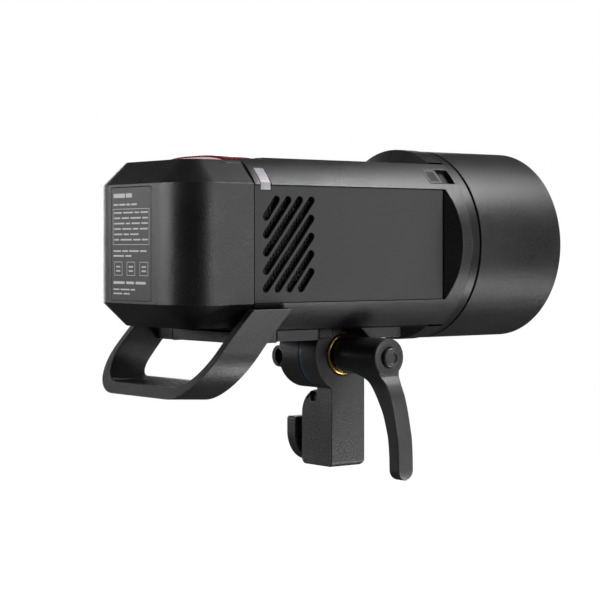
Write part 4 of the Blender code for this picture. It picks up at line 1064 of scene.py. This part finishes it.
def coil_form(axis, centre, r, wire, span, turns, per_turn=28, sides=8):
    """Round wire wound on an axis, between two ends."""
    n = int(turns * per_turn)
    pitch = (span[1] - span[0] - 2 * wire) / turns
    bm = bmesh.new()
    rings = []
    for i in range(n + 1):
        a_ = 2 * math.pi * turns * i / n
        h = span[0] + wire + pitch * turns * i / n
        out = Vector((math.cos(a_), math.sin(a_), 0.0))
        along = Vector((-r * math.sin(a_), r * math.cos(a_), pitch / (2 * math.pi))).normalized()
        up = along.cross(out)
        ring = []
        for k in range(sides):
            b_ = 2 * math.pi * k / sides
            q = out * r + (out * math.cos(b_) + up * math.sin(b_)) * wire * 0.97
            q = Vector((centre[0] + q.x, centre[1] + q.y, h + q.z))
            ring.append(bm.verts.new((q.z, q.x, q.y) if axis == 'X' else q))
        rings.append(ring)
    for a_, b_ in zip(rings[:-1], rings[1:]):
        for k in range(sides):
            j = (k + 1) % sides
            bm.faces.new((a_[k], a_[j], b_[j], b_[k]))
    bm.faces.new(rings[0])
    bm.faces.new(rings[-1][::-1])
    bmesh.ops.recalc_face_normals(bm, faces=bm.faces)
    return bm


# the two return springs, each given a mesh of its own
spring = piece(coil_form('Z', (0, 5), 3.4, 0.45, (41.7, 47.8), 3.0), "look_latch_spring", "battery", ["latch_spring"], STEEL, 0.0, clean=False)
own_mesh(spring)
spring = piece(coil_form('X', TILT, 5.95, 0.45, (-57.4, -35.4), 4.0), "look_lever_spring", "clamp", ["lever_spring"], STEEL, 0.0, clean=False)
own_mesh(spring)
dress("lock_pad", BRASS)

bpy.data.meshes.remove(tmp)
for ob in list(work.objects):
    bpy.data.objects.remove(ob, do_unlink=True)
bpy.data.collections.remove(work)

# =============================================================================
# Stage, light and camera
# =============================================================================
bm = bmesh.new()
bmesh.ops.create_grid(bm, x_segments=2, y_segments=2, size=6.0)
bmesh.ops.translate(bm, verts=bm.verts, vec=(0, 0, -0.9))
me = bpy.data.meshes.new("floor")
bm.to_mesh(me)
bm.free()
floor = bpy.data.objects.new("floor", me)
bpy.context.scene.collection.objects.link(floor)
fm, nt, b = new_material("pale_floor")
b.inputs["Base Color"].default_value = (0.8, 0.8, 0.8, 1)
b.inputs["Roughness"].default_value = 0.9
b.inputs["Emission Color"].default_value = (1, 1, 1, 1)
b.inputs["Emission Strength"].default_value = 1.0
me.materials.append(fm)
floor.visible_diffuse = False
floor.visible_glossy = False

world = bpy.data.worlds.new("studio")
bpy.context.scene.world = world
world.use_nodes = True
wn = world.node_tree
bg = wn.nodes["Background"]
bg.inputs["Color"].default_value = (1, 1, 1, 1)
bg.inputs["Strength"].default_value = 0.05
bg2 = wn.nodes.new("ShaderNodeBackground")
bg2.inputs["Color"].default_value = (1, 1, 1, 1)
bg2.inputs["Strength"].default_value = 1.0
lp = wn.nodes.new("ShaderNodeLightPath")
mx = wn.nodes.new("ShaderNodeMixShader")
wn.links.new(lp.outputs["Is Camera Ray"], mx.inputs["Fac"])
wn.links.new(bg.outputs[0], mx.inputs[1])
wn.links.new(bg2.outputs[0], mx.inputs[2])
wn.links.new(mx.outputs[0], wn.nodes["World Output"].inputs["Surface"])
bpy.context.scene.view_settings.view_transform = 'Standard'

CENTRE = Vector((0.0, 0.004, 0.147))


def area(name, az, el, dist, size, power, size_y=None, along=0.0):
    """Soft light at an azimuth (from +X) and elevation about the object, facing it."""
    a, e = math.radians(az), math.radians(el)
    aim = CENTRE + Vector((0.0, along, 0.0))
    at = aim + Vector((math.cos(e) * math.cos(a), math.cos(e) * math.sin(a), math.sin(e))) * dist
    li = bpy.data.lights.new(name, 'AREA')
    li.shape = 'RECTANGLE'
    li.size = size
    li.size_y = size_y or size
    li.energy = power
    ob = bpy.data.objects.new(name, li)
    ob.location = at
    ob.rotation_euler = (aim - at).to_track_quat('-Z', 'Y').to_euler()
    ob.visible_camera = False
    bpy.context.scene.collection.objects.link(ob)
    return ob


def spot(name, at, power, size=0.12):
    """Small soft light close to the object."""
    ob = area(name, 0, 0, 1.0, size, power)
    at = Vector(at)
    ob.location = at
    ob.rotation_euler = (Vector((-0.03, at.y * 0.4, 0.147)) - at).to_track_quat('-Z', 'Y').to_euler()
    return ob


# the camera stands at azimuth 142 degrees
area("key", 241, 48, 1.2, 0.35, 4.4)
spot("key_near", (-0.25, -0.22, 0.45), 0.90)
spot("top_near", (-0.05, -0.25, 0.45), 0.08)
spot("low_front", (-0.25, -0.38, -0.14), 0.37)
spot("low_near", (-0.25, -0.12, -0.14), 0.58)
spot("side", (-0.48, -0.20, 0.147), 0.34)
spot("side_near", (-0.48, -0.05, 0.147), 0.32)
area("rear", 72, 12, 1.2, 0.34, 5.6, 0.34)
area("rear_fill", 45, 8, 1.2, 0.35, 2.5)
area("far_side", 352, 4, 1.2, 0.60, 4.5, 0.60)
area("graze", 322, 10, 1.2, 0.40, 1.1, 0.25)
area("front", 285, 12, 1.3, 0.50, 2.5, 0.50)

cam_data = bpy.data.cameras.new("camera")
cam = bpy.data.objects.new("camera", cam_data)
bpy.context.scene.collection.objects.link(cam)
cam.location = (-0.9480, 0.76414, 0.14377)
cam.rotation_euler = Vector((0.7899, -0.6132, 0.0)).to_track_quat('-Z', 'Y').to_euler()
cam_data.lens = 109.17
cam_data.sensor_width = 36.0
cam_data.shift_y = -0.0852
cam_data.clip_start = 0.01
bpy.context.scene.camera = cam
